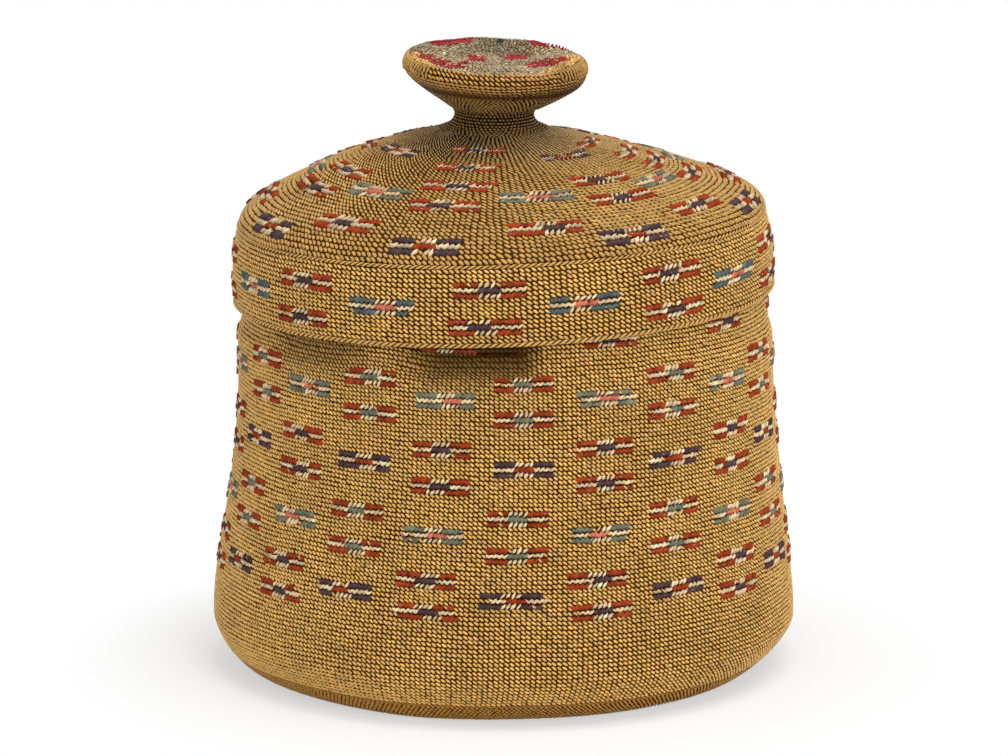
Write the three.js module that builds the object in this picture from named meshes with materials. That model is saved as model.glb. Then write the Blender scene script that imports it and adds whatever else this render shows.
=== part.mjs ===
import * as THREE from 'three';

// Lidded grass basket: a twined body on a flat base, and a twined lid with a waisted, dished knob.
// Millimetres, +Z up, origin on the table under the middle of the basket.

// Body, outer surface
const FLAT_RADIUS = 70;
const FOOT_REACH = 6;
const BELLY_RADIUS = 84;
const BELLY_HEIGHT = 14.5;
const BELLY_ROUND = 4;
const WALL_RISE = 80;
const WALL_FULLNESS = 18;
const WALL_EASE = 40;
const NECK_RADIUS = 75.2;
const COLLAR_STEP = 1.5;
const NECK_TAPER = 2.7;
const NECK_STEP = 8.5;
const NECK_LENGTH = 23.9;
const WALL_THICKNESS = 1.4;
const BASE_THICKNESS = 1.4;

// Cords and borders, radius of the round section
const FOOT_CORD = 1.1;
const FOOT_CORD_HEIGHT = 5.6;
const MOUTH_BORDER = 1.2;
const EDGE_CORD = 0.95;
const SHOULDER_CORD = 1.1;
const RIM_CORD = 2.2;

// Lid, heights counted from the shoulder
const LID_THICKNESS = 1.2;
const SKIRT_DEPTH = 20;
const SKIRT_SWELL = 1;
const SHOULDER_DRAW = 1.8;
const SHOULDER_ROUND = 5.6;
const DOME_SHOULDER_RADIUS = 62;
const DOME_SHOULDER_RISE = 10.2;
const DOME_MID_RADIUS = 40;
const DOME_MID_RISE = 18.5;
const DOME_SLOPE = 0.37;

// Knob, heights counted from the shoulder
const NECK_FOOT_RADIUS = 15.5;
const NECK_FOOT_RISE = 25.5;
const WAIST_RADIUS = 11.5;
const WAIST_RISE = 29.2;
const BOWL_FOOT_RADIUS = 13;
const BOWL_FOOT_RISE = 31.5;
const BOWL_SPREAD = 4.9;
const BOWL_LIFT = 3.3;
const BOWL_ROUND = 5;
const BOWL_RADIUS = 26;
const BOWL_RISE = 43.3;
const KNOB_THICKNESS = 1.3;
const DISH_DEPTH = 1.6;
const DISH_THICKNESS = 1.4;

// Clearances
const SEAM_GAP = 0.3;
const SEAT_GAP = 0.6;
const LID_CLEARANCE = 0.6;

// How the old basket stands: the lid sits a little askew and the axis sways
const LID_TILT_SIDE = 2.04;
const LID_TILT_BACK = 1.52;
const NECK_TILT_SIDE = -0.4;
const KNOB_TILT_SIDE = -2;
const KNOB_TILT_BACK = 4;
const FOOT_SHIFT = -1.3;
const WALL_SHIFT = 0.8;
const COLLAR_SHIFT = 0.4;
const MOUTH_SHIFT = -0.3;
const WAIST_SHIFT = -2;
const BOWL_SHIFT = -0.5;
const KNOB_SHIFT = -1.8;

// Facets
const SIDES = 60;
const KNOB_SIDES = 48;
const CORD_SIDES = 6;
const DISH_STEPS = 4;
const FACET_TURN = 15;
const FACET_RUN = 22;
const FACET_LEAST = 0.6;
const TURN_SAMPLES = 16;
const SEARCH_STEP = 0.05;

const STRAW = 0xc8a055;
const DOME_STRAW = 0xb89a66;
const CORD_STRAW = 0xb98a3c;
const NECK_STRAW = 0x644b23;
const KNOB_STRAW = 0xb08a3e;
const DUSTY_TOP = 0x8c7d5a;

const collarRadius = NECK_RADIUS + COLLAR_STEP;
const mouthRadius = NECK_RADIUS - NECK_TAPER;
const skirtRadius = NECK_RADIUS + LID_CLEARANCE + LID_THICKNESS;
const collarHeight = BELLY_HEIGHT + WALL_RISE;
const neckFoot = collarHeight + NECK_STEP;
const neckTop = neckFoot + NECK_LENGTH;

const at = (radius, height) => new THREE.Vector2(radius, height);

// Outer line of the body from the edge of the flat base to the top of the neck.
function bodyLine() {
  const line = new THREE.Path();
  line.moveTo(FLAT_RADIUS, 0);
  line.bezierCurveTo(
    FLAT_RADIUS + FOOT_REACH, 0,
    BELLY_RADIUS, BELLY_HEIGHT - BELLY_ROUND,
    BELLY_RADIUS, BELLY_HEIGHT,
  );
  line.bezierCurveTo(
    BELLY_RADIUS, BELLY_HEIGHT + WALL_FULLNESS,
    collarRadius, collarHeight - WALL_EASE,
    collarRadius, collarHeight,
  );
  line.bezierCurveTo(
    collarRadius, collarHeight + NECK_STEP / 2,
    NECK_RADIUS, neckFoot - NECK_STEP / 2,
    NECK_RADIUS, neckFoot,
  );
  line.lineTo(mouthRadius, neckTop);
  return line;
}

// Outer line of the skirt, from its lower edge to the shoulder.
function skirtLine() {
  const line = new THREE.Path();
  line.moveTo(skirtRadius, -SKIRT_DEPTH);
  line.quadraticCurveTo(
    skirtRadius + SKIRT_SWELL, -SKIRT_DEPTH / 2,
    skirtRadius - SHOULDER_DRAW, 0,
  );
  return line;
}

// Outer line of the dome, from the shoulder to the foot of the knob's neck.
function domeLine() {
  const line = new THREE.Path();
  const run = (DOME_MID_RADIUS - NECK_FOOT_RADIUS) / 3;
  line.moveTo(skirtRadius - SHOULDER_DRAW, 0);
  line.bezierCurveTo(
    skirtRadius - SHOULDER_DRAW, SHOULDER_ROUND,
    DOME_SHOULDER_RADIUS, DOME_SHOULDER_RISE,
    DOME_MID_RADIUS, DOME_MID_RISE,
  );
  line.bezierCurveTo(
    DOME_MID_RADIUS - run, DOME_MID_RISE + run * DOME_SLOPE,
    NECK_FOOT_RADIUS + run, NECK_FOOT_RISE - run * DOME_SLOPE,
    NECK_FOOT_RADIUS, NECK_FOOT_RISE,
  );
  return line;
}

// Outer line of the knob's neck, hollow-waisted like a spool.
function neckLine() {
  const line = new THREE.Path();
  const footRise = WAIST_RISE - NECK_FOOT_RISE;
  line.moveTo(NECK_FOOT_RADIUS, NECK_FOOT_RISE);
  line.quadraticCurveTo(
    WAIST_RADIUS, NECK_FOOT_RISE + footRise / 3,
    WAIST_RADIUS, WAIST_RISE,
  );
  line.quadraticCurveTo(
    WAIST_RADIUS, (WAIST_RISE + BOWL_FOOT_RISE) / 2,
    BOWL_FOOT_RADIUS, BOWL_FOOT_RISE,
  );
  return line;
}

// Outer line of the cap's underside, from the neck to its widest ring.
function bowlLine() {
  const line = new THREE.Path();
  line.moveTo(BOWL_FOOT_RADIUS, BOWL_FOOT_RISE);
  line.bezierCurveTo(
    BOWL_FOOT_RADIUS + BOWL_SPREAD, BOWL_FOOT_RISE + BOWL_LIFT,
    BOWL_RADIUS, BOWL_RISE - BOWL_ROUND,
    BOWL_RADIUS, BOWL_RISE,
  );
  return line;
}

// Angle in degrees through which a curve turns from end to end.
function turning(curve) {
  let turn = 0;
  for (let i = 1; i <= TURN_SAMPLES; i += 1) {
    const before = curve.getTangent((i - 1) / TURN_SAMPLES);
    turn += THREE.MathUtils.radToDeg(before.angleTo(curve.getTangent(i / TURN_SAMPLES)));
  }
  return turn;
}

// Lengths along a line that give a tight bend more facets than a straight run.
function stops(line, start, end) {
  const lengths = [];
  let before = 0;
  line.getCurveLengths().forEach((reach, i) => {
    const bends = Math.ceil(turning(line.curves[i]) / FACET_TURN);
    const steps = bends + Math.floor((reach - before) / FACET_RUN);
    for (let step = 1; step <= steps; step += 1) {
      lengths.push(before + ((reach - before) * step) / steps);
    }
    before = reach;
  });
  const inside = (length) => length > start + FACET_LEAST && length < end - FACET_LEAST;
  return [start, ...lengths.filter(inside), end];
}

// A place on a line: its point, and the direction in which the line runs there.
function placeOn(line, length) {
  const share = THREE.MathUtils.clamp(length / line.getLength(), 0, 1);
  return { point: line.getPointAt(share), along: line.getTangentAt(share) };
}

// The point straight inwards from a place on an outer line.
const inwards = ({ point, along }, depth) => at(point.x - along.y * depth, point.y + along.x * depth);

// Closed section of a shell: up the outer line, back down the inner one.
function shell(line, start, end, thickness) {
  const places = stops(line, start, end).map((length) => placeOn(line, length));
  const outer = places.map(({ point }) => point);
  const inner = places.map((place) => inwards(place, thickness));
  return [...outer, ...inner.reverse()];
}

// Length along a line, searched in steps from a start, at which a shell's edge stands clear of a cord.
function clearOf(line, thickness, cord, start, step) {
  const centre = new THREE.Vector3(cord.centre.x, cord.centre.y);
  let length = start;
  let gap = 0;
  while (gap < cord.radius + SEAM_GAP) {
    length += step;
    const place = placeOn(line, length);
    const inner = inwards(place, thickness);
    const edge = new THREE.Line3(
      new THREE.Vector3(place.point.x, place.point.y),
      new THREE.Vector3(inner.x, inner.y),
    );
    gap = edge.closestPointToPoint(centre, true, new THREE.Vector3()).distanceTo(centre);
  }
  return length;
}

// Closed round section.
function round({ centre, radius }) {
  const points = [];
  for (let i = 0; i < CORD_SIDES; i += 1) {
    const turn = ((i + 0.5) / CORD_SIDES) * Math.PI * 2;
    points.push(at(centre.x + radius * Math.cos(turn), centre.y + radius * Math.sin(turn)));
  }
  return points;
}

// Value that eases from one named height to the next.
function eased(height, stations) {
  let value = stations[0][1];
  for (let i = 1; i < stations.length; i += 1) {
    const [low, from] = stations[i - 1];
    const [high, to] = stations[i];
    value = height > low ? from + (to - from) * THREE.MathUtils.smoothstep(height, low, high) : value;
  }
  return value;
}

const slope = (degrees) => Math.tan(THREE.MathUtils.degToRad(degrees));

// Sideways sway of the body's axis at a height.
function swayBody(x, y, z) {
  const shift = eased(z, [
    [0, FOOT_SHIFT],
    [BELLY_HEIGHT, 0],
    [collarHeight - WALL_EASE / 2, WALL_SHIFT],
    [neckFoot, COLLAR_SHIFT],
    [neckTop, MOUTH_SHIFT],
  ]);
  return [x + shift, y, z];
}

// Tilt and sway of the lid at a height above its shoulder. Each level ring stays a plane ring.
function swayLid(x, y, z) {
  const side = eased(z, [
    [0, slope(LID_TILT_SIDE)],
    [NECK_FOOT_RISE, slope(NECK_TILT_SIDE)],
    [WAIST_RISE, slope(NECK_TILT_SIDE)],
    [BOWL_RISE, slope(KNOB_TILT_SIDE)],
  ]);
  const back = eased(z, [
    [NECK_FOOT_RISE, slope(LID_TILT_BACK)],
    [BOWL_RISE, slope(KNOB_TILT_BACK)],
  ]);
  const shift = eased(z, [
    [0, 0],
    [NECK_FOOT_RISE, WAIST_SHIFT],
    [WAIST_RISE, WAIST_SHIFT],
    [(BOWL_FOOT_RISE + BOWL_RISE) / 2, BOWL_SHIFT],
    [BOWL_RISE, KNOB_SHIFT],
  ]);
  const above = z + SKIRT_DEPTH / 2;
  return [
    x + shift - Math.min(above, SKIRT_DEPTH / 2) * slope(LID_TILT_SIDE),
    y - above * slope(LID_TILT_BACK),
    z + x * side + y * back,
  ];
}

// Revolves a section about the axis and lets it sway. A section off the axis closes on itself.
function turned(section, sides, sway) {
  const closed = section[0].x === 0 ? section : [...section, section[0]];
  const geometry = new THREE.LatheGeometry(closed, sides);
  geometry.rotateX(Math.PI / 2);
  const places = geometry.getAttribute('position');
  for (let i = 0; i < places.count; i += 1) {
    places.setXYZ(i, ...sway(places.getX(i), places.getY(i), places.getZ(i)));
  }
  geometry.computeVertexNormals();
  return geometry;
}

function piece(name, geometry, color) {
  const material = new THREE.MeshStandardMaterial({ color, roughness: 0.85, metalness: 0 });
  const mesh = new THREE.Mesh(geometry, material);
  mesh.name = name;
  return mesh;
}

// Length along a line at which it first reaches a height.
function lengthAtHeight(line, height) {
  let length = 0;
  while (placeOn(line, length).point.y < height) {
    length += SEARCH_STEP;
  }
  return length;
}

// Height of the dome's inner surface over a radius.
function domeInnerHeight(radius) {
  const line = domeLine();
  let length = 0;
  let inner = inwards(placeOn(line, length), LID_THICKNESS);
  while (inner.x > radius) {
    length += SEARCH_STEP;
    inner = inwards(placeOn(line, length), LID_THICKNESS);
  }
  return inner.y;
}

// Place of a cord laid in the thickness of a shell at a length along its outer line.
function cordAt(line, length, thickness, radius) {
  return { centre: inwards(placeOn(line, length), thickness / 2), radius };
}

// Body
const body = new THREE.Group();
const bodyOuter = bodyLine();
const footAlong = lengthAtHeight(bodyOuter, FOOT_CORD_HEIGHT);
const footCord = cordAt(bodyOuter, footAlong, WALL_THICKNESS, FOOT_CORD);

const baseEnd = clearOf(bodyOuter, BASE_THICKNESS, footCord, footAlong, -SEARCH_STEP);
const baseSection = [at(0, 0), ...shell(bodyOuter, 0, baseEnd, BASE_THICKNESS), at(0, BASE_THICKNESS)];
body.add(piece('base', turned(baseSection, SIDES, swayBody), STRAW));
body.add(piece('foot_cord', turned(round(footCord), SIDES, swayBody), CORD_STRAW));

const wallStart = clearOf(bodyOuter, WALL_THICKNESS, footCord, footAlong, SEARCH_STEP);
const wallSection = shell(bodyOuter, wallStart, bodyOuter.getLength(), WALL_THICKNESS);
body.add(piece('wall', turned(wallSection, SIDES, swayBody), STRAW));

const border = {
  centre: at(mouthRadius - MOUTH_BORDER, neckTop + SEAM_GAP + MOUTH_BORDER),
  radius: MOUTH_BORDER,
};
body.add(piece('mouth_border', turned(round(border), SIDES, swayBody), CORD_STRAW));

// Lid, seated on the mouth border at its lowest side
const lid = new THREE.Group();
const tiltDrop = border.centre.x * Math.hypot(slope(LID_TILT_SIDE), slope(LID_TILT_BACK));
const seatHeight = border.centre.y + MOUTH_BORDER + SEAT_GAP;
lid.position.set(MOUTH_SHIFT, 0, seatHeight + tiltDrop - domeInnerHeight(border.centre.x));

const skirt = skirtLine();
const shoulder = cordAt(skirt, skirt.getLength(), LID_THICKNESS, SHOULDER_CORD);
const skirtEnd = clearOf(skirt, LID_THICKNESS, shoulder, skirt.getLength(), -SEARCH_STEP);
lid.add(piece('lid_skirt', turned(shell(skirt, 0, skirtEnd, LID_THICKNESS), SIDES, swayLid), STRAW));

const edge = {
  centre: at(skirtRadius - LID_THICKNESS + EDGE_CORD, -SKIRT_DEPTH - SEAM_GAP - EDGE_CORD),
  radius: EDGE_CORD,
};
lid.add(piece('lid_edge_cord', turned(round(edge), SIDES, swayLid), CORD_STRAW));
lid.add(piece('shoulder_cord', turned(round(shoulder), SIDES, swayLid), CORD_STRAW));

const dome = domeLine();
const domeStart = clearOf(dome, LID_THICKNESS, shoulder, 0, SEARCH_STEP);
const domeSection = shell(dome, domeStart, dome.getLength(), LID_THICKNESS);
lid.add(piece('lid_dome', turned(domeSection, SIDES, swayLid), DOME_STRAW));

const neck = neckLine();
const neckSection = shell(neck, SEAM_GAP, neck.getLength(), KNOB_THICKNESS);
lid.add(piece('knob_neck', turned(neckSection, KNOB_SIDES, swayLid), NECK_STRAW));

const bowl = bowlLine();
const rim = { centre: at(BOWL_RADIUS - RIM_CORD, BOWL_RISE), radius: RIM_CORD };
const bowlEnd = clearOf(bowl, KNOB_THICKNESS, rim, bowl.getLength(), -SEARCH_STEP);
const bowlSection = shell(bowl, SEAM_GAP, bowlEnd, KNOB_THICKNESS);
lid.add(piece('knob_bowl', turned(bowlSection, KNOB_SIDES, swayLid), KNOB_STRAW));
lid.add(piece('knob_rim_cord', turned(round(rim), KNOB_SIDES, swayLid), KNOB_STRAW));

// Dished top, its edge inside the rim
const dishRadius = rim.centre.x - RIM_CORD - SEAM_GAP;
const dishEdge = BOWL_RISE + RIM_CORD / 2;
const dishLine = (drop) => Array.from({ length: DISH_STEPS + 1 }, (_, i) => {
  const share = i / DISH_STEPS;
  return at(dishRadius * share, dishEdge - drop - DISH_DEPTH * (1 - share * share));
});
const dishSection = [...dishLine(DISH_THICKNESS), ...dishLine(0).reverse()];
lid.add(piece('knob_top', turned(dishSection, KNOB_SIDES, swayLid), DUSTY_TOP));

const basket = new THREE.Group();
basket.add(body, lid);

export default basket;
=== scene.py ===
import math
from functools import cache

import bpy
import numpy as np
from bpy.props import FloatProperty, FloatVectorProperty, IntProperty, PointerProperty
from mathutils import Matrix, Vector, noise


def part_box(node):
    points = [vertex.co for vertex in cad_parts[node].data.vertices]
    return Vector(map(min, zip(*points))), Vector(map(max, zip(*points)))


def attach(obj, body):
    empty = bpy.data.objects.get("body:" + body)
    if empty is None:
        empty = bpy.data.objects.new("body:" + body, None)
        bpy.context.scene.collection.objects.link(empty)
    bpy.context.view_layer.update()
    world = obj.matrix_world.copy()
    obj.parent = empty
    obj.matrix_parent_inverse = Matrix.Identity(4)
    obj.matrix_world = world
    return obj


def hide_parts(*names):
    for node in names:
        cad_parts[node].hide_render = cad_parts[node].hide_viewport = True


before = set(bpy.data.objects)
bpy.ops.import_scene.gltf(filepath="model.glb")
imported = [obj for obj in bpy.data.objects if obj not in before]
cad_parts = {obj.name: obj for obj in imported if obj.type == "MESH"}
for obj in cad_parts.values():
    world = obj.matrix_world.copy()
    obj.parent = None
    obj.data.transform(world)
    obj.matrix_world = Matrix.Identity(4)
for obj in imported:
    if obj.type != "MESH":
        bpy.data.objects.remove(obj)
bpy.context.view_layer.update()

bl_info = {
    "name": "Lidded grass basket",
    "version": (1, 0, 0),
    "blender": (4, 5, 0),
    "location": "3D View > Sidebar > Basket",
    "description": "Twines the body, the lid and the wool embroidery stitch by stitch",
    "category": "Object",
}

BASKET = "basket"
LID = "lid"
BAKE_MAP = "OFBake"
FULL_TURN = 2 * math.pi

# Points of a Bezier run and of a cord's path
CURVE_SAMPLES = 160
PATH_POINTS = 240
# Where the underside and rim of the knob's cap end and its top begins, on the rim's round section
CROWN_DEGREES = 84
# Share of a turn between the ended columns of one row and the next
GOLDEN_SHARE = 0.618034
# Share of the way to even spacing that the columns close up in each row, twice
CLOSING = 0.6
# Share of a row that a stitch would rise over its column at a slant of 1
STITCH_RISE = 0.85
# Room that the lining's stitches take inside a shell, and what is left free in the knob
LINING_ROOM = 0.0004
KNOB_ROOM = 0.0003
# Height of the lining's stitches in the basket and in the lid
LINING_RISE = 0.0004
LID_LINING_RISE = 0.00035
# Spans of the broad and the small blotches of the grass, and how much its lots differ in warmth
BLOTCH_SPANS = (0.020, 0.006)
WARM_SPREAD = 0.03
COOL_SPREAD = 0.06
# How much the lots of wool differ, and the lightest that any stitch may be
WOOL_SPREAD = 0.16
LIGHTEST = 0.95
# Height and spread in height of the hollows in the wall, and the angles from the front where
# each begins, is full, ceases to be full and ends, with its depth
# The wall's grass in these hollows is darkened as painted shadow of the lid
HOLLOW_HEIGHT = 0.1040
HOLLOW_SPREAD = 0.0092
HOLLOW_DEPTH = 0.0034
HOLLOWS = ((-27, -13, 3, 9.5, HOLLOW_DEPTH), (-62, -50, -38, -28, 0.0018))
# Colours of yarn; 0 is grass
RED, PURPLE, TEAL, GREEN, SALMON, CREAM, CRIMSON = range(1, 8)
YARNS = ("red", "purple", "teal", "green", "salmon", "cream", "crimson")


# Properties


def linear(red, green, blue):
    """Scene-linear colour from the 0 to 255 values a colour picker shows."""
    parts = [part / 255 for part in (red, green, blue)]
    return tuple(p / 12.92 if p <= 0.04045 else ((p + 0.055) / 1.055) ** 2.4 for p in parts)


def size(name, default, description):
    return FloatProperty(
        name=name, default=default, description=description, unit="LENGTH", precision=5
    )


def tilt(name, default, description):
    return FloatProperty(
        name=name, default=math.radians(default), description=description, subtype="ANGLE"
    )


def number(name, default, description):
    return IntProperty(name=name, default=default, description=description, min=1)


def share(name, default, description):
    return FloatProperty(name=name, default=default, description=description, min=0.0)


def colour(name, default, description):
    return FloatVectorProperty(
        name=name,
        default=linear(*default),
        description=description,
        subtype="COLOR",
        size=3,
        min=0.0,
        max=1.0,
    )


class BodySizes(bpy.types.PropertyGroup):
    flat_radius: size("Flat radius", 0.070, "Radius of the part of the base that rests on the table")
    foot_reach: size("Foot reach", 0.006, "Pull of the flat base on the curve of the foot")
    belly_radius: size("Belly radius", 0.084, "Widest radius, just above the foot")
    belly_height: size("Belly height", 0.0145, "Height of the widest ring")
    belly_round: size("Belly round", 0.004, "Pull of the belly on the curve of the foot")
    wall_rise: size("Wall rise", 0.080, "Height from the belly to the collar")
    wall_fullness: size("Wall fullness", 0.018, "Pull of the belly on the curve of the wall")
    wall_ease: size("Wall ease", 0.040, "Pull of the collar on the curve of the wall")
    neck_radius: size("Neck radius", 0.0752, "Radius at the foot of the drawn-in neck")
    collar_step: size("Collar step", 0.0015, "How far the collar stands out from the neck")
    neck_taper: size("Neck taper", 0.0027, "How far the neck draws in up to the mouth")
    neck_step: size("Neck step", 0.0085, "Height of the step from the collar to the neck")
    neck_length: size("Neck length", 0.0239, "Height of the neck under the lid")
    thickness: size("Thickness", 0.0014, "Thickness of the wall and the base")
    foot_cord_height: size("Foot cord height", 0.0056, "Height of the cord that marks the foot")


class LidSizes(bpy.types.PropertyGroup):
    clearance: size("Clearance", 0.0006, "Room between the neck and the skirt")
    thickness: size("Thickness", 0.0012, "Thickness of the skirt and the dome")
    skirt_depth: size("Skirt depth", 0.020, "Depth of the skirt below the shoulder")
    fall: size("Fall", 0.0006, "How far the skirt's last row hangs below that depth")
    skirt_swell: size("Skirt swell", 0.001, "Swell of the skirt half way down")
    shoulder_draw: size("Shoulder draw", 0.0018, "How far the shoulder stands in from the edge")
    shoulder_round: size("Shoulder round", 0.0056, "Upright pull on the curve of the shoulder")
    dome_shoulder_radius: size("Dome shoulder radius", 0.062, "Radius that pulls the outer dome")
    dome_shoulder_rise: size("Dome shoulder rise", 0.0102, "Rise that pulls the outer dome")
    dome_mid_radius: size("Dome middle radius", 0.040, "Radius half way up the dome")
    dome_mid_rise: size("Dome middle rise", 0.0185, "Rise of the dome at that radius")
    dome_slope: share("Dome slope", 0.37, "Rise for each unit of run at both ends of the inner dome")
    edge_cord: size("Edge cord", 0.00095, "Radius of the cord along the skirt's lower edge")
    seam: size("Seam", 0.0003, "Gap between the skirt and the edge cord")


class KnobSizes(bpy.types.PropertyGroup):
    foot_radius: size("Foot radius", 0.0155, "Radius where the neck meets the dome")
    foot_rise: size("Foot rise", 0.0255, "Rise of the neck's foot above the shoulder")
    waist_radius: size("Waist radius", 0.0115, "Narrowest radius of the neck")
    waist_rise: size("Waist rise", 0.0292, "Rise of the waist above the shoulder")
    bowl_foot_radius: size("Cap foot radius", 0.013, "Radius where the cap begins")
    bowl_foot_rise: size("Cap foot rise", 0.0315, "Rise of the cap's foot above the shoulder")
    bowl_spread: size("Cap spread", 0.0049, "Outward pull on the cap's underside")
    bowl_lift: size("Cap lift", 0.0033, "Upward pull on the cap's underside")
    bowl_round: size("Cap round", 0.005, "Upright pull below the rim")
    radius: size("Cap radius", 0.026, "Radius of the rim")
    rise: size("Cap rise", 0.0433, "Rise of the rim's middle above the shoulder")
    rim: size("Rim", 0.0022, "Radius of the rim's round section")
    dish_depth: size("Dish depth", 0.0016, "Dip in the middle of the top")
    thickness: size("Thickness", 0.0013, "Thickness of the neck and the cap")


class LeanSizes(bpy.types.PropertyGroup):
    lid_side: tilt("Lid to the side", 2.04, "Tilt of the lid to the side")
    lid_back: tilt("Lid to the back", 1.52, "Tilt of the lid to the back")
    neck_side: tilt("Neck to the side", -0.4, "Tilt of the knob's neck to the side")
    knob_side: tilt("Knob to the side", -2.0, "Tilt of the knob's rim to the side")
    knob_back: tilt("Knob to the back", 5.2, "Tilt of the knob's rim to the back")
    foot: size("Foot", -0.0013, "Sideways shift of the foot")
    wall: size("Wall", 0.0008, "Sideways shift of the upper wall")
    collar: size("Collar", 0.0004, "Sideways shift of the collar")
    mouth: size("Mouth", -0.0003, "Sideways shift of the mouth and the lid")
    waist: size("Waist", -0.002, "Sideways shift of the knob's waist")
    bowl: size("Cap", -0.0005, "Sideways shift of the cap's underside")
    knob: size("Knob", -0.0018, "Sideways shift of the knob's rim")


class WeaveSizes(bpy.types.PropertyGroup):
    wall_stitches: number("Wall stitches", 363, "Stitches in one turn of the wall")
    lid_stitches: number("Lid stitches", 297, "Stitches in one turn of the skirt")
    wall_row: size("Wall row", 0.00124, "Height of one row of the wall")
    lid_row: size("Lid row", 0.00125, "Height of one row of the skirt")
    dome_row: size("Dome row", 0.00168, "Width of one row of the dome")
    base_row: size("Base row", 0.00160, "Width of one row of the base")
    knob_row: size("Knob row", 0.00088, "Height of one row of the knob's neck")
    cap_row: size("Cap row", 0.00110, "Width of one row of the knob's cap")
    crest: size("Crest", 0.00032, "How far a stitch stands out")
    ground: size("Ground", 0.00040, "Depth of the ground of the weave below its crests")
    wave: size("Wave", 0.00035, "How far the rows wander up and down")
    worn: share("Worn", 0.035, "Share of the wool stitches that are worn away")


class BasketColours(bpy.types.PropertyGroup):
    straw: colour("Straw", (224, 174, 82), "Grass of the wall and the skirt")
    foot_straw: colour("Foot straw", (190, 136, 52), "Grass of the base and the foot")
    dome_straw: colour("Dome straw", (194, 148, 68), "Faded grass of the dome")
    # Painted shade: the neck is darkened for the shade at the waist under the cap, not by handling
    painted_shade_neck_straw: colour("Neck straw", (154, 118, 58), "Handled grass of the knob's neck")
    cap_straw: colour("Cap straw", (208, 158, 76), "Grass of the knob's rim")
    # Painted shade: the cap's underside is darkened for the shade under the cap, not by handling
    painted_shade_bowl_straw: colour("Cap's underside", (88, 54, 12), "Handled grass under the knob's cap")
    top_straw: colour("Top straw", (160, 138, 92), "Dusty grass of the knob's top")
    cord_straw: colour("Cord straw", (224, 176, 94), "Grass of the cords")
    # Painted shade: the ground between the stitches is dark for the shade that falls between them
    ground: colour("Ground", (58, 30, 2), "Shaded strands between the stitches")
    lining: colour("Lining", (186, 144, 82), "Grass of the inside")
    red: colour("Red wool", (158, 62, 24), "Brick red wool")
    purple: colour("Purple wool", (84, 60, 63), "Dark purple wool")
    teal: colour("Teal wool", (92, 103, 100), "Teal wool")
    green: colour("Green wool", (120, 122, 100), "Grey-green wool")
    salmon: colour("Salmon wool", (206, 118, 92), "Salmon wool")
    cream: colour("Cream wool", (238, 210, 166), "Cream grass and wool")
    crimson: colour("Crimson wool", (180, 58, 62), "Crimson wool of the knob's top")


GROUPS = {
    "grass_body": BodySizes,
    "grass_lid": LidSizes,
    "grass_knob": KnobSizes,
    "grass_lean": LeanSizes,
    "grass_weave": WeaveSizes,
    "grass_colours": BasketColours,
}


# Surfaces


def bezier(controls):
    """Points on a Bezier curve of any degree."""
    along = np.linspace(0, 1, CURVE_SAMPLES)[:, None]
    points = [np.asarray(control, float) + 0 * along for control in controls]
    while len(points) > 1:
        points = [a + (b - a) * along for a, b in zip(points[:-1], points[1:])]
    return points[0]


def unit(vectors):
    return vectors / np.linalg.norm(vectors, axis=-1, keepdims=True)


def smooth(values):
    values = np.clip(values, 0, 1)
    return values * values * (3 - 2 * values)


def rising(values, start, width):
    """0 up to the start, then smoothly up to 1 over the width."""
    return smooth((values - start) / width)


def falling(values, end, width):
    """1, then smoothly down over the width to 0 at the end."""
    return smooth((end - values) / width)


def eased(height, stations):
    """Value that eases from one height to the next."""
    value = np.full(np.shape(height), float(stations[0][1]))
    for (low, start), (high, end) in zip(stations[:-1], stations[1:]):
        step = start + (end - start) * smooth((height - low) / (high - low))
        value = np.where(height > low, step, value)
    return value


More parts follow.
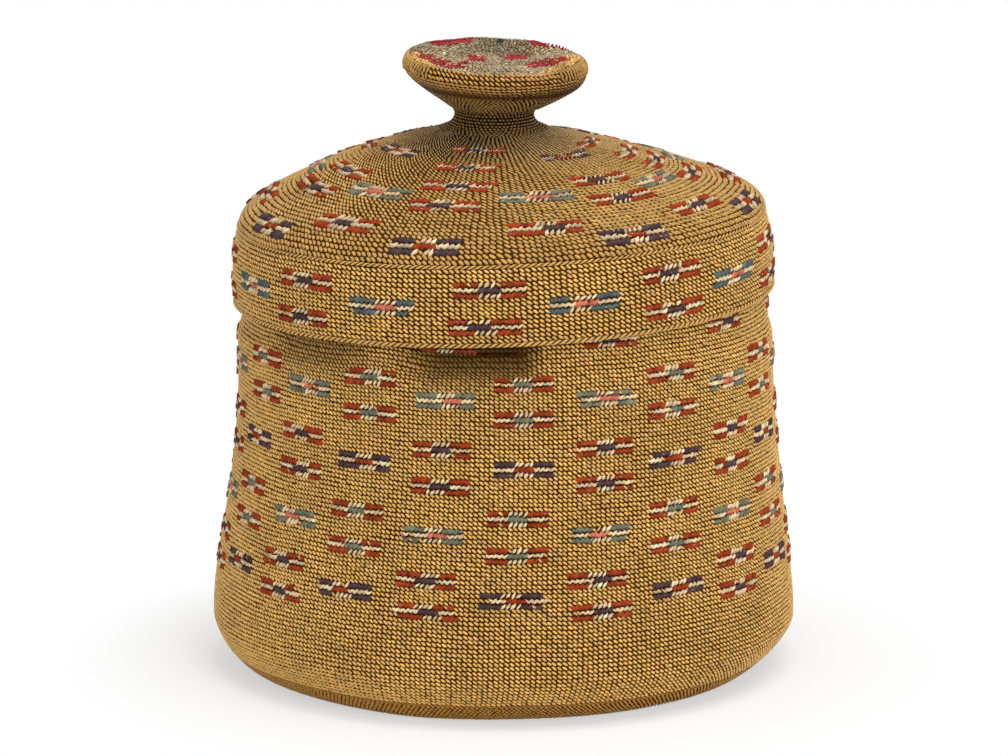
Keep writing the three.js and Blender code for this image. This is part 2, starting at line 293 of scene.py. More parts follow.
class Surface:
    """An outer line, turned about the upright axis and then swayed. Turn 0 faces the viewer.

    The line is made of Bezier runs. Each run after the first starts where the one before ends.
    """

    # Step along the line by which slopes are measured
    NUDGE = 2e-5
    BIT = NUDGE * 5
    LEAST_RADIUS = 1e-3

    def __init__(self, runs, sway, dent=None):
        curves = [bezier(runs[0])]
        for before, run in zip(runs[:-1], runs[1:]):
            curves.append(bezier((before[-1], *run))[1:])
        self.points = np.concatenate(curves)
        steps = np.linalg.norm(np.diff(self.points, axis=0), axis=1)
        self.reach = np.concatenate([[0.0], np.cumsum(steps)])
        self.total = self.reach[-1]
        self.sway = sway
        self.dent = dent

    def radius(self, length):
        return np.interp(length, self.reach, self.points[:, 0])

    def height(self, length):
        return np.interp(length, self.reach, self.points[:, 1])

    def at_height(self, height):
        return float(np.interp(height, self.points[:, 1], self.reach))

    def at_radius(self, radius):
        order = np.argsort(self.points[:, 0], kind="stable")
        return float(np.interp(radius, self.points[order, 0], self.reach[order]))

    def place(self, length, turn, rise=0.0):
        """Points at lengths and turns of the surface, raised along its outward normal."""
        length = np.clip(length, 2 * self.NUDGE, self.total - 2 * self.NUDGE)
        run = self.radius(length + self.NUDGE) - self.radius(length - self.NUDGE)
        lift = self.height(length + self.NUDGE) - self.height(length - self.NUDGE)
        slant = np.hypot(run, lift)
        if self.dent is not None:
            rise = rise + self.dent(self.radius(length), self.height(length), turn)
        radius = self.radius(length) + rise * lift / slant
        height = self.height(length) - rise * run / slant
        return self.sway(radius * np.sin(turn), -radius * np.cos(turn), height)

    def stretch(self, length, turn):
        """How much longer the line is at each place than the line before its dents."""
        bit = self.BIT
        inside = np.clip(length, 4 * bit, self.total - 4 * bit)
        step = self.place(inside + bit, turn) - self.place(inside - bit, turn)
        return np.linalg.norm(step, axis=-1) / (2 * bit)

    def axes(self, length, turn):
        """Unit vectors at each place: along the row, up the line and outwards."""
        bit = self.BIT
        inside = np.clip(length, 4 * bit, self.total - 4 * bit)
        angle = bit / np.maximum(self.radius(inside), self.LEAST_RADIUS)
        along = unit(self.place(inside, turn + angle) - self.place(inside, turn - angle))
        up = unit(self.place(inside + bit, turn) - self.place(inside - bit, turn))
        out = unit(np.cross(along, up))
        return along, np.cross(out, along), out


def collar_height(body):
    return body.belly_height + body.wall_rise


def neck_foot(body):
    return collar_height(body) + body.neck_step


def neck_top(body):
    return neck_foot(body) + body.neck_length


def skirt_radius(body, lid):
    return body.neck_radius + lid.clearance + lid.thickness


def sway_body(scene):
    """The body's sideways sway by height."""
    body, lean = scene.grass_body, scene.grass_lean
    stations = (
        (0, lean.foot),
        (body.belly_height, 0),
        (collar_height(body) - body.wall_ease / 2, lean.wall),
        (neck_foot(body), lean.collar),
        (neck_top(body), lean.mouth),
    )

    def sway(x, y, z):
        return np.stack([x + eased(z, stations), y, z], axis=-1)

    return sway


def lid_height(scene):
    """Height of the lid's shoulder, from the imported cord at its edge."""
    lid = scene.grass_lid
    low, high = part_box("lid_edge_cord")
    return (low[2] + high[2]) / 2 + lid.skirt_depth + lid.seam + lid.edge_cord


def sway_lid(scene):
    """The lid's tilt and sway by height above its shoulder."""
    lid, knob, lean = scene.grass_lid, scene.grass_knob, scene.grass_lean
    half_skirt = lid.skirt_depth / 2
    side_slope, back_slope = math.tan(lean.lid_side), math.tan(lean.lid_back)
    side_stations = (
        (0, side_slope),
        (knob.foot_rise, math.tan(lean.neck_side)),
        (knob.waist_rise, math.tan(lean.neck_side)),
        (knob.rise, math.tan(lean.knob_side)),
    )
    back_stations = ((knob.foot_rise, back_slope), (knob.rise, math.tan(lean.knob_back)))
    shift_stations = (
        (0, 0),
        (knob.foot_rise, lean.waist),
        (knob.waist_rise, lean.waist),
        ((knob.bowl_foot_rise + knob.rise) / 2, lean.bowl),
        (knob.rise, lean.knob),
    )
    seat = lid_height(scene)

    def sway(x, y, z):
        above = z + half_skirt
        across = x + eased(z, shift_stations) - np.minimum(above, half_skirt) * side_slope
        height = z + x * eased(z, side_stations) + y * eased(z, back_stations)
        return np.stack([across + lean.mouth, y - above * back_slope, height + seat], axis=-1)

    return sway


def slack(seed, depth, across):
    """Slow swelling and sinking of a surface made by hand, at most the given depth."""
    origin = Vector((seed * 7.31, seed * 3.17, seed * 1.73))

    def dent(radius, height, turn):
        places = np.stack(
            np.broadcast_arrays(radius * np.sin(turn), -radius * np.cos(turn), height), axis=-1
        )
        values = [noise.noise(origin + Vector(place)) for place in places.reshape(-1, 3) / across]
        return depth * np.reshape(values, places.shape[:-1])

    return dent


def from_front(turn):
    """Angles in degrees from the front, -180 to 180."""
    return np.degrees(np.angle(np.exp(1j * turn)))


def hollow(height, turn):
    """Depth of the hollows in the wall under the lid's low side."""
    angle = from_front(turn)
    level = np.exp(-(((height - HOLLOW_HEIGHT) / HOLLOW_SPREAD) ** 2))
    depth = 0.0
    for begin, full, ease, end, deepest in HOLLOWS:
        spread = smooth((angle - begin) / (full - begin)) * smooth((end - angle) / (end - ease))
        depth = depth + deepest * spread * level
    return depth


def wall_slack():
    """The slack of the wall with the hollows under the lid's low side."""
    slow = slack(1, 0.0003, 0.030)

    def dent(radius, height, turn):
        return slow(radius, height, turn) - hollow(height, turn)

    return dent


def body_surface(scene):
    body = scene.grass_body
    collar = body.neck_radius + body.collar_step
    mouth = body.neck_radius - body.neck_taper
    level, foot = collar_height(body), neck_foot(body)
    runs = (
        (
            (body.flat_radius, 0),
            (body.flat_radius + body.foot_reach, 0),
            (body.belly_radius, body.belly_height - body.belly_round),
            (body.belly_radius, body.belly_height),
        ),
        (
            (body.belly_radius, body.belly_height + body.wall_fullness),
            (collar, level - body.wall_ease),
            (collar, level),
        ),
        (
            (collar, level + body.neck_step / 2),
            (body.neck_radius, foot - body.neck_step / 2),
            (body.neck_radius, foot),
        ),
        ((mouth, neck_top(body)),),
    )
    return Surface(runs, sway_body(scene), wall_slack())


def underside(scene):
    runs = (((0.0, 0.0), (scene.grass_body.flat_radius, 0.0)),)
    return Surface(runs, sway_body(scene))


def skirt_surface(scene):
    body, lid = scene.grass_body, scene.grass_lid
    edge = skirt_radius(body, lid)
    runs = (
        (
            (edge, -lid.skirt_depth - lid.fall),
            (edge + lid.skirt_swell, -lid.skirt_depth / 2),
            (edge - lid.shoulder_draw, 0),
        ),
    )
    return Surface(runs, sway_lid(scene), slack(2, 0.00025, 0.022))


def dome_surface(scene):
    lid, knob = scene.grass_lid, scene.grass_knob
    edge = skirt_radius(scene.grass_body, lid) - lid.shoulder_draw
    run = (lid.dome_mid_radius - knob.foot_radius) / 3
    runs = (
        (
            (edge, 0),
            (edge, lid.shoulder_round),
            (lid.dome_shoulder_radius, lid.dome_shoulder_rise),
            (lid.dome_mid_radius, lid.dome_mid_rise),
        ),
        (
            (lid.dome_mid_radius - run, lid.dome_mid_rise + run * lid.dome_slope),
            (knob.foot_radius + run, knob.foot_rise - run * lid.dome_slope),
            (knob.foot_radius, knob.foot_rise),
        ),
    )
    return Surface(runs, sway_lid(scene), slack(3, 0.0005, 0.020))


def neck_surface(scene):
    knob = scene.grass_knob
    third = (knob.waist_rise - knob.foot_rise) / 3
    runs = (
        (
            (knob.foot_radius, knob.foot_rise),
            (knob.waist_radius, knob.foot_rise + third),
            (knob.waist_radius, knob.waist_rise),
        ),
        (
            (knob.waist_radius, (knob.waist_rise + knob.bowl_foot_rise) / 2),
            (knob.bowl_foot_radius, knob.bowl_foot_rise),
        ),
    )
    return Surface(runs, sway_lid(scene))


def rim_point(knob, degrees):
    """Point of the rim's round section, 0 at its outermost and 90 at its top."""
    angle = math.radians(degrees)
    middle = knob.radius - knob.rim
    return (middle + knob.rim * math.cos(angle), knob.rise + knob.rim * math.sin(angle))


def cap_surface(scene):
    """The underside of the knob's cap and the outside of its rim."""
    knob = scene.grass_knob
    under = (
        (knob.bowl_foot_radius, knob.bowl_foot_rise),
        (knob.bowl_foot_radius + knob.bowl_spread, knob.bowl_foot_rise + knob.bowl_lift),
        (knob.radius, knob.rise - knob.bowl_round),
        (knob.radius, knob.rise),
    )
    side, shoulder, crown = (rim_point(knob, degrees) for degrees in (30, 60, CROWN_DEGREES))
    lift = knob.rim * 0.09
    over = ((side[0] + lift, side[1]), (shoulder[0] + lift, shoulder[1] + lift), crown)
    return Surface((under, over), sway_lid(scene), slack(4, 0.0005, 0.011))


def top_surface(scene):
    """The slack top of the knob, from the crown of its rim to its middle."""
    knob = scene.grass_knob
    inner = knob.radius - 2 * knob.rim
    crown = rim_point(knob, CROWN_DEGREES)
    level = crown[1] - knob.rim * 0.42
    middle = level - knob.dish_depth * 0.6
    runs = (
        (
            crown,
            (knob.radius - knob.rim, crown[1] + 0.0001),
            (inner, crown[1] - 0.0001),
            (inner * 0.86, level),
        ),
        ((inner * 0.6, middle), (inner * 0.35, middle), (0.0, middle)),
    )
    return Surface(runs, sway_lid(scene), slack(6, 0.0018, 0.011))


# Weaves


def spaced(start, end, pitch_at):
    """Lengths of rows between two ends, with the pitch given for each length."""
    steps = []
    while start + sum(steps) < end:
        steps.append(float(pitch_at(start + sum(steps))))
    steps = np.array(steps) * (end - start) / sum(steps)
    return start + np.cumsum(steps) - steps / 2


def even_turns(stitches, start=0.0):
    return (np.arange(stitches) + 0.5) * FULL_TURN / stitches + start


def row_middles(start, end, row, within=0.5):
    """Lengths of even rows between two ends, each about as high as asked."""
    rows = max(3, round((end - start) / row))
    return start + (np.arange(rows) + within) * (end - start) / rows


def fitting(surface, lengths, pitch, least):
    """Stitches that fit round each row, never more than in the row before."""
    counts = [max(least, round(FULL_TURN * surface.radius(length) / pitch)) for length in lengths]
    return np.minimum.accumulate(counts)


def narrowing(most, radii, gaps):
    """Stitches of each row with a gap of its own, never more than in the row before."""
    return np.minimum.accumulate(np.minimum(most, FULL_TURN * radii / gaps)).astype(int)


def closing_turns(counts):
    """Angles of the columns row by row. Single columns end and the rest close up slowly."""
    turns = even_turns(counts[0])
    rows = [turns]
    for row, wanted in enumerate(counts[1:]):
        held = len(turns)
        if wanted < held:
            offset = (row * GOLDEN_SHARE) % 1.0
            ended = ((np.arange(held - wanted) + offset) * held / (held - wanted)).astype(int)
            turns = np.delete(turns, ended)
        for _ in range(2):
            before = np.roll(turns, 1)
            before[0] -= FULL_TURN
            after = np.roll(turns, -1)
            after[-1] += FULL_TURN
            turns = turns + CLOSING * ((before + after) / 2 - turns)
        rows.append(turns)
    return rows


class Weave:
    """The stitches of a turned surface, one entry each, in rows from the start of its line."""

    # How far a figure pushes the rows near it apart, in rows, by distance from its middle row
    PUSH = (0.0, 0.2, 0.16, 0.1, 0.04)
    # Stitches in a block of one colour, and how often a row's blocks may lie one stitch aside
    BLOCK = 4
    ASIDE = 0.35
    # Share of bared stitches in a fresh figure, and how much more of them wear brings
    BARED = 0.12
    WEAR = 0.6
    # How far apart the waves of a row are
    WAVE_LENGTH = 0.014

    def __init__(self, surface, lengths, rows_of_turns, seed, wave=0.0, stray=0.045):
        counts = [len(turns) for turns in rows_of_turns]
        rng = np.random.default_rng(seed)
        self.surface = surface
        self.lengths = np.asarray(lengths)
        self.starts = np.concatenate([[0], np.cumsum(counts)])
        self.row = np.repeat(np.arange(len(counts)), counts)
        self.turn = np.concatenate(rows_of_turns)
        gaps = [(np.roll(turns, -1) - np.roll(turns, 1)) % FULL_TURN / 2 for turns in rows_of_turns]
        self.pitch = np.abs(np.gradient(self.lengths))[self.row]
        length = self.lengths[self.row]
        self.gap = np.concatenate(gaps) * surface.radius(length)
        if wave:
            wander = slack(seed + 40, wave, self.WAVE_LENGTH)
            length = length + wander(surface.radius(length), surface.height(length), self.turn)
        spots = rng.normal(0, stray, (2, len(length)))
        self.length = length + spots[0] * self.pitch
        self.turn = self.turn + spots[1] * np.concatenate(gaps)
        self.yarn = np.zeros(len(length), int)
        self.bared = np.zeros(len(length), bool)
        self.middle = np.zeros(len(length), bool)
        self.fullness = np.ones(len(length))
        self.steepness = np.ones(len(length))
        self.cream_level = 1.0
        self.rng = rng

    def members(self, row, turn, reach):
        """Stitches of a row around a turn, as many to each side as its reach."""
        first, last = self.starts[row], self.starts[row + 1]
        away = np.angle(np.exp(1j * (self.turn[first:last] - turn)))
        middle = int(np.argmin(np.abs(away)))
        return first + (middle + np.arange(-reach, reach)) % (last - first)

    def embroider(self, turn, length, outer, inner, worn):
        """One small figure: three rows of twelve stitches in blocks of four."""
        across = 3 * self.BLOCK
        middle = int(np.argmin(np.abs(self.lengths - length)))
        drift = int(self.rng.integers(-1, 2))
        wear = self.rng.random() ** 2
        for step in range(-4, 5):
            if not 0 <= middle + step < len(self.lengths):
                continue
            stitches = self.members(middle + step, turn, across // 2)
            push = self.PUSH[abs(step)] * math.copysign(1, step)
            self.length[stitches] += push * self.pitch[stitches]
            if abs(step) > 1:
                continue
            blocks = (CREAM, inner, CREAM) if step == 0 else (outer, CREAM, outer)
            colours = np.repeat(blocks, self.BLOCK)
            if self.rng.random() < self.ASIDE:
                end = 0 if drift > 0 else -1
                colours = np.roll(colours, drift)
                colours[end] = blocks[end]
            colours[self.rng.random(across) < worn] = 0
            self.yarn[stitches] = colours
            self.middle[stitches] = step == 0
            self.bared[stitches] = self.rng.random(across) < self.BARED + self.WEAR * wear


def blotches(weave, seed, across):
    """Slow light and dark over a weave, from about -1 to 1."""
    surface = weave.surface
    slow = slack(seed, 1.6, across)
    return slow(surface.radius(weave.length), surface.height(weave.length), weave.turn)


def straw_tints(weave, base, seed, mottle=0.08, spread=0.09):
    """Colour of each grass stitch: the base colour with slow blotches and a lot of its own."""
    rng = np.random.default_rng(seed)
    count = len(weave.turn)
    broad, small = (blotches(weave, seed + i, span) for i, span in enumerate(BLOTCH_SPANS))
    level = (1 + mottle * broad + 0.5 * mottle * small) * np.exp(rng.normal(0, spread, count))
    warm = rng.normal(0, WARM_SPREAD, count)
    cool = rng.normal(0, COOL_SPREAD, count)
    hue = np.stack([1 + warm, np.ones(count), 1 - warm + cool], axis=-1)
    return np.clip(np.asarray(base) * level[:, None] * hue, 0, LIGHTEST)


def wool_tints(weave, seed):
    """Colour of each wool stitch: the colour of its yarn, each a little lighter or darker."""
    rng = np.random.default_rng(seed)
    colours = bpy.context.scene.grass_colours
    palette = np.array([(0.0, 0.0, 0.0)] + [tuple(getattr(colours, yarn)) for yarn in YARNS])
    level = np.exp(rng.normal(0, WOOL_SPREAD, len(weave.turn)))
    level = level * np.where(weave.yarn == CREAM, weave.cream_level, 1.0)
    return np.clip(palette[weave.yarn] * level[:, None], 0, LIGHTEST)


def between(first, second, part):
    """Colour of each stitch between two colours, by its part of the second."""
    part = part[:, None]
    return np.asarray(first) * (1 - part) + np.asarray(second) * part


def laid(weave, chosen, style, tints, seed):
    """Places, directions, sizes, colours and lots of the chosen stitches in a style of stitch."""
    rng = np.random.default_rng(seed)
    gap, pitch = weave.gap[chosen], weave.pitch[chosen]
    length, turn = weave.length[chosen], weave.turn[chosen]
    turn = turn + style["beside"] * gap / weave.surface.radius(length)
    along, up, out = weave.surface.axes(length, turn)
    pitch = pitch * weave.surface.stretch(length, turn)
    if style["inside"]:
        out = -out
    lean = style["slant"] * weave.steepness[chosen]
    slant = lean * np.arctan2(STITCH_RISE * pitch, gap) + rng.normal(0, style["stray"], len(gap))
    run = along * np.cos(slant)[:, None] + up * np.sin(slant)[:, None]
    reach = style["reach"] * np.hypot(gap, pitch)
    breadth = style["breadth"] * pitch * weave.fullness[chosen]
    height = style["height"] * weave.fullness[chosen]
    uneven = rng.normal(1, style["uneven"], (len(gap), 3))
    sizes = np.stack([reach, breadth, height], axis=-1) * uneven
    place = weave.surface.place(length, turn, style["depth"])
    return place, out, run, sizes, tints[chosen], rng.random(len(gap))


# Node trees


class Value:
    """An output socket; arithmetic on it adds Math nodes."""

    def __init__(self, tree, socket):
        self.tree = tree
        self.socket = socket

    def math(self, operation, *values):
        """A Math node on the given values."""
        numbers = dict(enumerate(values))
        return self.tree.add("ShaderNodeMath", {"operation": operation}, numbers).out(0)

    def __add__(self, other):
        return self.math("ADD", self, other)

    def __sub__(self, other):
        return self.math("SUBTRACT", self, other)

    def __rsub__(self, other):
        return self.math("SUBTRACT", other, self)

    def __mul__(self, other):
        return self.math("MULTIPLY", self, other)

    def __truediv__(self, other):
        return self.math("DIVIDE", self, other)

    __radd__ = __add__
    __rmul__ = __mul__

    def clamped(self):
        return self.tree.add("ShaderNodeClamp", {}, {"Value": self}).out(0)


class Node:
    """A node of a tree, asked for its outputs."""

    def __init__(self, tree, node):
        self.tree = tree
        self.node = node

    def out(self, key):
        """The output of that name or number, as it stands for the node's settings."""
        if isinstance(key, int):
            return Value(self.tree, self.node.outputs[key])
        found = [socket for socket in self.node.outputs if socket.name == key and socket.enabled]
        return Value(self.tree, found[0])


class Tree:
    """A node tree of a material or a modifier. Every node comes from its method add."""

    def __init__(self, nodes):
        self.nodes = nodes
        self.links = nodes.id_data.links

    def add(self, kind, settings=None, inputs=None):
        """Adds a node: its settings first, then the values or links of its sockets."""
        node = self.nodes.new(kind)
        for name, value in (settings or {}).items():
            setattr(node, name, value)
        for key, value in (inputs or {}).items():
            socket = node.inputs[key] if isinstance(key, int) else self.socket(node, key)
            if isinstance(value, Value):
                self.links.new(value.socket, socket)
            else:
                socket.default_value = value
        return Node(self, node)

    @staticmethod
    def socket(node, name):
        found = [socket for socket in node.inputs if socket.name == name and socket.enabled]
        if not found:
            raise KeyError(f"{node.bl_idname} has no input named {name}")
        return found[0]

    def vector(self, operation, first, second, output=0):
        inputs = {0: first, 1: second}
        return self.add("ShaderNodeVectorMath", {"operation": operation}, inputs).out(output)

    def scaled(self, vector, amount):
        inputs = {0: vector, "Scale": amount}
        return self.add("ShaderNodeVectorMath", {"operation": "SCALE"}, inputs).out(0)

    def combined(self, x, y, z):
        return self.add("ShaderNodeCombineXYZ", {}, {"X": x, "Y": y, "Z": z}).out(0)

    def parts(self, vector):
        """The x and y parts of a vector."""
        node = self.add("ShaderNodeSeparateXYZ", {}, {0: vector})
        return node.out("X"), node.out("Y")

    def mix(self, factor, first, second, blend="MIX"):
        settings = {"data_type": "RGBA", "blend_type": blend}
        inputs = {"Factor": factor, "A": first, "B": second}
        return self.add("ShaderNodeMix", settings, inputs).out("Result")

    def times(self, colour, *factors):
        """A colour with its red, green and blue multiplied."""
        return self.mix(1.0, colour, (*factors, 1.0), "MULTIPLY")

    def attribute(self, name, output="Fac"):
        return self.add("ShaderNodeAttribute", {"attribute_name": name}).out(output)

    def object_place(self):
        return self.add("ShaderNodeTexCoord").out("Object")

    def noise(self, place, scale, detail, roughness):
        inputs = {"Vector": place, "Scale": scale, "Detail": detail, "Roughness": roughness}
        return self.add("ShaderNodeTexNoise", {}, inputs).out("Fac")

    def bump(self, height, strength, distance):
        inputs = {"Strength": strength, "Distance": distance, "Height": height}
        return self.add("ShaderNodeBump", {}, inputs).out(0)

    def seen(self):
        """1 for rays of the camera and of a shine, 0 for the light that falls on things."""
        path = self.add("ShaderNodeLightPath")
        camera = path.out("Is Camera Ray")
        return camera.math("MAXIMUM", camera, path.out("Is Glossy Ray"))

    def named(self, name):
        """A named vector on the points of a geometry."""
        settings = {"data_type": "FLOAT_VECTOR"}
        return self.add("GeometryNodeInputNamedAttribute", settings, {"Name": name}).out("Attribute")

    def stored(self, geometry, name, value, kind="FLOAT"):
        settings = {"data_type": kind, "domain": "POINT"}
        inputs = {"Geometry": geometry, "Name": name, "Value": value}
        return self.add("GeometryNodeStoreNamedAttribute", settings, inputs).out(0)

    def end(self, geometry, material):
        """Ends a geometry tree with real geometry in one material."""
        real = self.add("GeometryNodeRealizeInstances", {}, {"Geometry": geometry})
        inputs = {"Geometry": real.out(0), "Material": material}
        painted = self.add("GeometryNodeSetMaterial", {}, inputs)
        self.add("NodeGroupOutput", {}, {0: painted.out(0)})


def modifier_tree(name, inputs):
    """A geometry tree with named inputs. Returns the tree, its nodes and the values of its inputs."""
    group = bpy.data.node_groups.new(name, "GeometryNodeTree")
    for label, kind, default in inputs:
        socket = group.interface.new_socket(label, in_out="INPUT", socket_type=kind)
        if default is not None:
            socket.default_value = default
    group.interface.new_socket("Geometry", in_out="OUTPUT", socket_type="NodeSocketGeometry")
    tree = Tree(group.nodes)
    entry = tree.add("NodeGroupInput")
    return group, tree, {label: entry.out(label) for label, _, _ in inputs}


@cache
def stitch_tree():
    """Lays one stitch on each point, turned and scaled as the point says."""
    inputs = (
        ("Geometry", "NodeSocketGeometry", None),
        ("Stitch", "NodeSocketObject", None),
        ("Length", "NodeSocketFloat", 1.0),
        ("Width", "NodeSocketFloat", 1.0),
        ("Height", "NodeSocketFloat", 1.0),
        ("Roll", "NodeSocketFloat", 0.12),
        ("Seed", "NodeSocketInt", 0),
        ("Material", "NodeSocketMaterial", None),
    )
    group, tree, given = modifier_tree("Laid stitches", inputs)
    align = "FunctionNodeAlignRotationToVector"
    facing = tree.add(align, {"axis": "Z"}, {"Vector": tree.named("out")})
    inputs = {"Rotation": facing.out(0), "Vector": tree.named("run")}
    lying = tree.add(align, {"axis": "X", "pivot_axis": "Z"}, inputs)
    inputs = {"Min": given["Roll"] * -1.0, "Max": given["Roll"], "Seed": given["Seed"]}
    roll = tree.add("FunctionNodeRandomValue", {"data_type": "FLOAT"}, inputs).out("Value")
    rolled = tree.add("FunctionNodeAxisAngleToRotation", {}, {"Axis": (1.0, 0.0, 0.0), "Angle": roll})
    inputs = {"Rotation": lying.out(0), "Rotate By": rolled.out(0)}
    turned = tree.add("FunctionNodeRotateRotation", {"rotation_space": "LOCAL"}, inputs)
    factors = tree.combined(given["Length"], given["Width"], given["Height"])
    settings = {"transform_space": "ORIGINAL"}
    shape = tree.add("GeometryNodeObjectInfo", settings, {"Object": given["Stitch"]})
    inputs = {
        "Points": given["Geometry"],
        "Instance": shape.out("Geometry"),
        "Rotation": turned.out(0),
        "Scale": tree.vector("MULTIPLY", tree.named("size"), factors),
    }
    tree.end(tree.add("GeometryNodeInstanceOnPoints", {}, inputs).out(0), given["Material"])
    return group


@cache
def cord_tree():
    """Twists strands round a closed path."""
    inputs = (
        ("Geometry", "NodeSocketGeometry", None),
        ("Strands", "NodeSocketInt", 3),
        ("Twists", "NodeSocketInt", 90),
        ("Lay radius", "NodeSocketFloat", 0.0004),
        ("Strand radius", "NodeSocketFloat", 0.0005),
        ("Samples", "NodeSocketInt", 900),
        ("Sides", "NodeSocketInt", 6),
        ("Material", "NodeSocketMaterial", None),
    )
    group, tree, given = modifier_tree("Twisted cord", inputs)
    path = tree.add("GeometryNodeMeshToCurve", {}, {"Mesh": given["Geometry"]})
    inputs = {"Curve": path.out(0), "Count": given["Samples"]}
    fine = tree.add("GeometryNodeResampleCurve", {}, inputs)
    inputs = {"Geometry": fine.out(0), "Amount": given["Strands"]}
    copies = tree.add("GeometryNodeDuplicateElements", {"domain": "SPLINE"}, inputs)
    along = tree.add("GeometryNodeSplineParameter").out("Factor")
    position = tree.add("GeometryNodeInputPosition").out(0)
    phase = along * given["Twists"] + copies.out("Duplicate Index") / given["Strands"]
    angle = phase * FULL_TURN
    normal = tree.add("GeometryNodeInputNormal").out(0)
    tangent = tree.add("GeometryNodeInputTangent").out(0)
    side = tree.vector("CROSS_PRODUCT", tangent, normal)
    cosine = angle.math("COSINE", angle) * given["Lay radius"]
    sine = angle.math("SINE", angle) * given["Lay radius"]
    offset = tree.vector("ADD", tree.scaled(normal, cosine), tree.scaled(side, sine))
    kept = tree.stored(copies.out(0), "middle", position, "FLOAT_VECTOR")
    moved = tree.add("GeometryNodeSetPosition", {}, {"Geometry": kept, "Offset": offset})
    strands = tree.stored(moved.out(0), "along", along)
    inputs = {"Resolution": given["Sides"], "Radius": given["Strand radius"]}
    profile = tree.add("GeometryNodeCurvePrimitiveCircle", {"mode": "RADIUS"}, inputs)
    ring = tree.stored(profile.out(0), "around", along)
    tube = tree.add("GeometryNodeCurveToMesh", {}, {"Curve": strands, "Profile Curve": ring})
    # How far each point stands from the cord's middle, for the painted shade in its crevices
    away = tree.vector("DISTANCE", position, tree.named("middle"), "Value")
    stand = away / (given["Lay radius"] + given["Strand radius"])
    tree.end(tree.stored(tube.out(0), "crest", stand), given["Material"])
    return group


# Materials


def new_material(name):
    material = bpy.data.materials.new(name)
    material.use_nodes = True
    material.node_tree.nodes.clear()
    return material, Tree(material.node_tree.nodes)


def finish_material(tree, inputs):
    shader = tree.add("ShaderNodeBsdfPrincipled", {}, inputs)
    tree.add("ShaderNodeOutputMaterial", {}, {"Surface": shader.out(0)})


@cache
def grass():
    """Split grass in each stitch's own tint, with a painted highlight along its ridge and painted
    shade at its foot and tips.
    """
    material, tree = new_material("split_grass")
    tint = tree.attribute("tint", "Color")
    crest = tree.attribute("crest")
    along, across = tree.parts(tree.attribute("lie", "Vector"))
    streaks = tree.combined(along * 1.6, across * 7.0, tree.attribute("lot") * 40.0)
    fibre = tree.noise(streaks, 1.0, 2.0, 0.6)
    squared = along * along
    # Painted light: 1 on the crest of a stitch and 0 at its foot and its two tips, where it paints
    # shade
    painted_light = (crest * 2.4 + 0.1 - squared * squared * 40.0).clamped()
    # Painted highlight along the ridge of each stitch
    ridge = (0.85 - across * across * 12.0 - squared * 4.0).clamped() * painted_light
    body = tree.mix(painted_light, tree.times(tint, 0.27, 0.135, 0.0108), tint)
    # The pale colour carries both the fibres and the painted highlight
    pale = tree.times(body, 1.22, 1.42, 3.3)
    inputs = {
        "Base Color": tree.mix(((fibre - 0.42) * 1.3 + ridge * 0.5).clamped(), body, pale),
        "Roughness": 0.42 + fibre * 0.2,
        "Normal": tree.bump(fibre, 0.35, 0.00008),
        "Coat Weight": painted_light * 0.25,
        "Coat Roughness": 0.42,
        "Specular IOR Level": 0.08,
    }
    finish_material(tree, inputs)
    return material


@cache
def wool():
    """Fuzzy wool laid over the grass: lumpy plies, stray lighter hairs and painted shade at the foot
    of each lump.
    """
    material, tree = new_material("wool")
    tint = tree.attribute("tint", "Color")
    plies = tree.noise(tree.object_place(), 2600.0, 3.0, 0.7)
    # Painted shade: each lump darkens towards its foot, by its crest
    deep = tree.times(tint, 0.4, 0.3, 0.26)
    pale = tree.mix(0.1, tint, (0.9, 0.7, 0.5, 1.0))
    body = tree.mix((tree.attribute("crest") * 1.8).clamped(), deep, tint)
    inputs = {
        "Base Color": tree.mix(((plies - 0.5) * 2.4).clamped(), body, pale),
        "Normal": tree.bump(plies, 0.6, 0.0002),
        "Roughness": 0.9,
        "Specular IOR Level": 0.12,
    }
    finish_material(tree, inputs)
    return material


def ground_material(name, base, pale):
    """The strands behind the stitches, seen only as dark threads between them, their dark colour
    painted shade.
    """
    material, tree = new_material(name)
    threads = tree.noise(tree.object_place(), 900.0, 3.0, 0.65)
    inputs = {
        "Base Color": tree.mix(threads, (*base, 1.0), (*pale, 1.0)),
        "Normal": tree.bump(threads, 0.5, 0.0003),
        "Roughness": 0.85,
        "Specular IOR Level": 0.05,
    }
    finish_material(tree, inputs)
    return material


@cache
def weave_ground():
    """The ground of the golden weave."""
    return ground_material("ground", bpy.context.scene.grass_colours.ground, linear(100, 60, 10))


@cache
def neck_ground():
    """The darker ground of the knob's neck and what is next to it, darker still as painted shade near
    the knob.
    """
    return ground_material("neck_ground", linear(30, 18, 4), linear(50, 32, 10))


def cord_material(name, base, shade):
    """Twisted grass cord: fibres along each strand, darker lots from place to place, and painted shade
    in the crevices between strands.
    """
    material, tree = new_material(name)
    streaks = tree.combined(tree.attribute("along") * 420.0, tree.attribute("around") * 5.0, 0.0)
    fibre = tree.noise(streaks, 1.0, 2.0, 0.6)
    lots = tree.noise(tree.object_place(), 260.0, 2.0, 0.5)
    dark = tuple(part * shade for part in base)
    mixed = tree.mix((lots * 1.4 - 0.3).clamped(), (*dark, 1.0), (*base, 1.0))
    pale = tree.times(mixed, 1.35, 1.3, 1.2)
    fibrous = tree.mix(((fibre - 0.4) * 1.8).clamped(), mixed, pale)
    # Painted shade in the crevices, away from the crest of each strand
    deep = tree.times(fibrous, 0.16, 0.1, 0.03)
    inputs = {
        "Base Color": tree.mix(((tree.attribute("crest") - 0.58) * 3.6).clamped(), deep, fibrous),
        "Normal": tree.bump(fibre, 0.5, 0.0001),
        "Roughness": 0.5,
        "Specular IOR Level": 0.3,
    }
    finish_material(tree, inputs)
    return material


# Making pieces

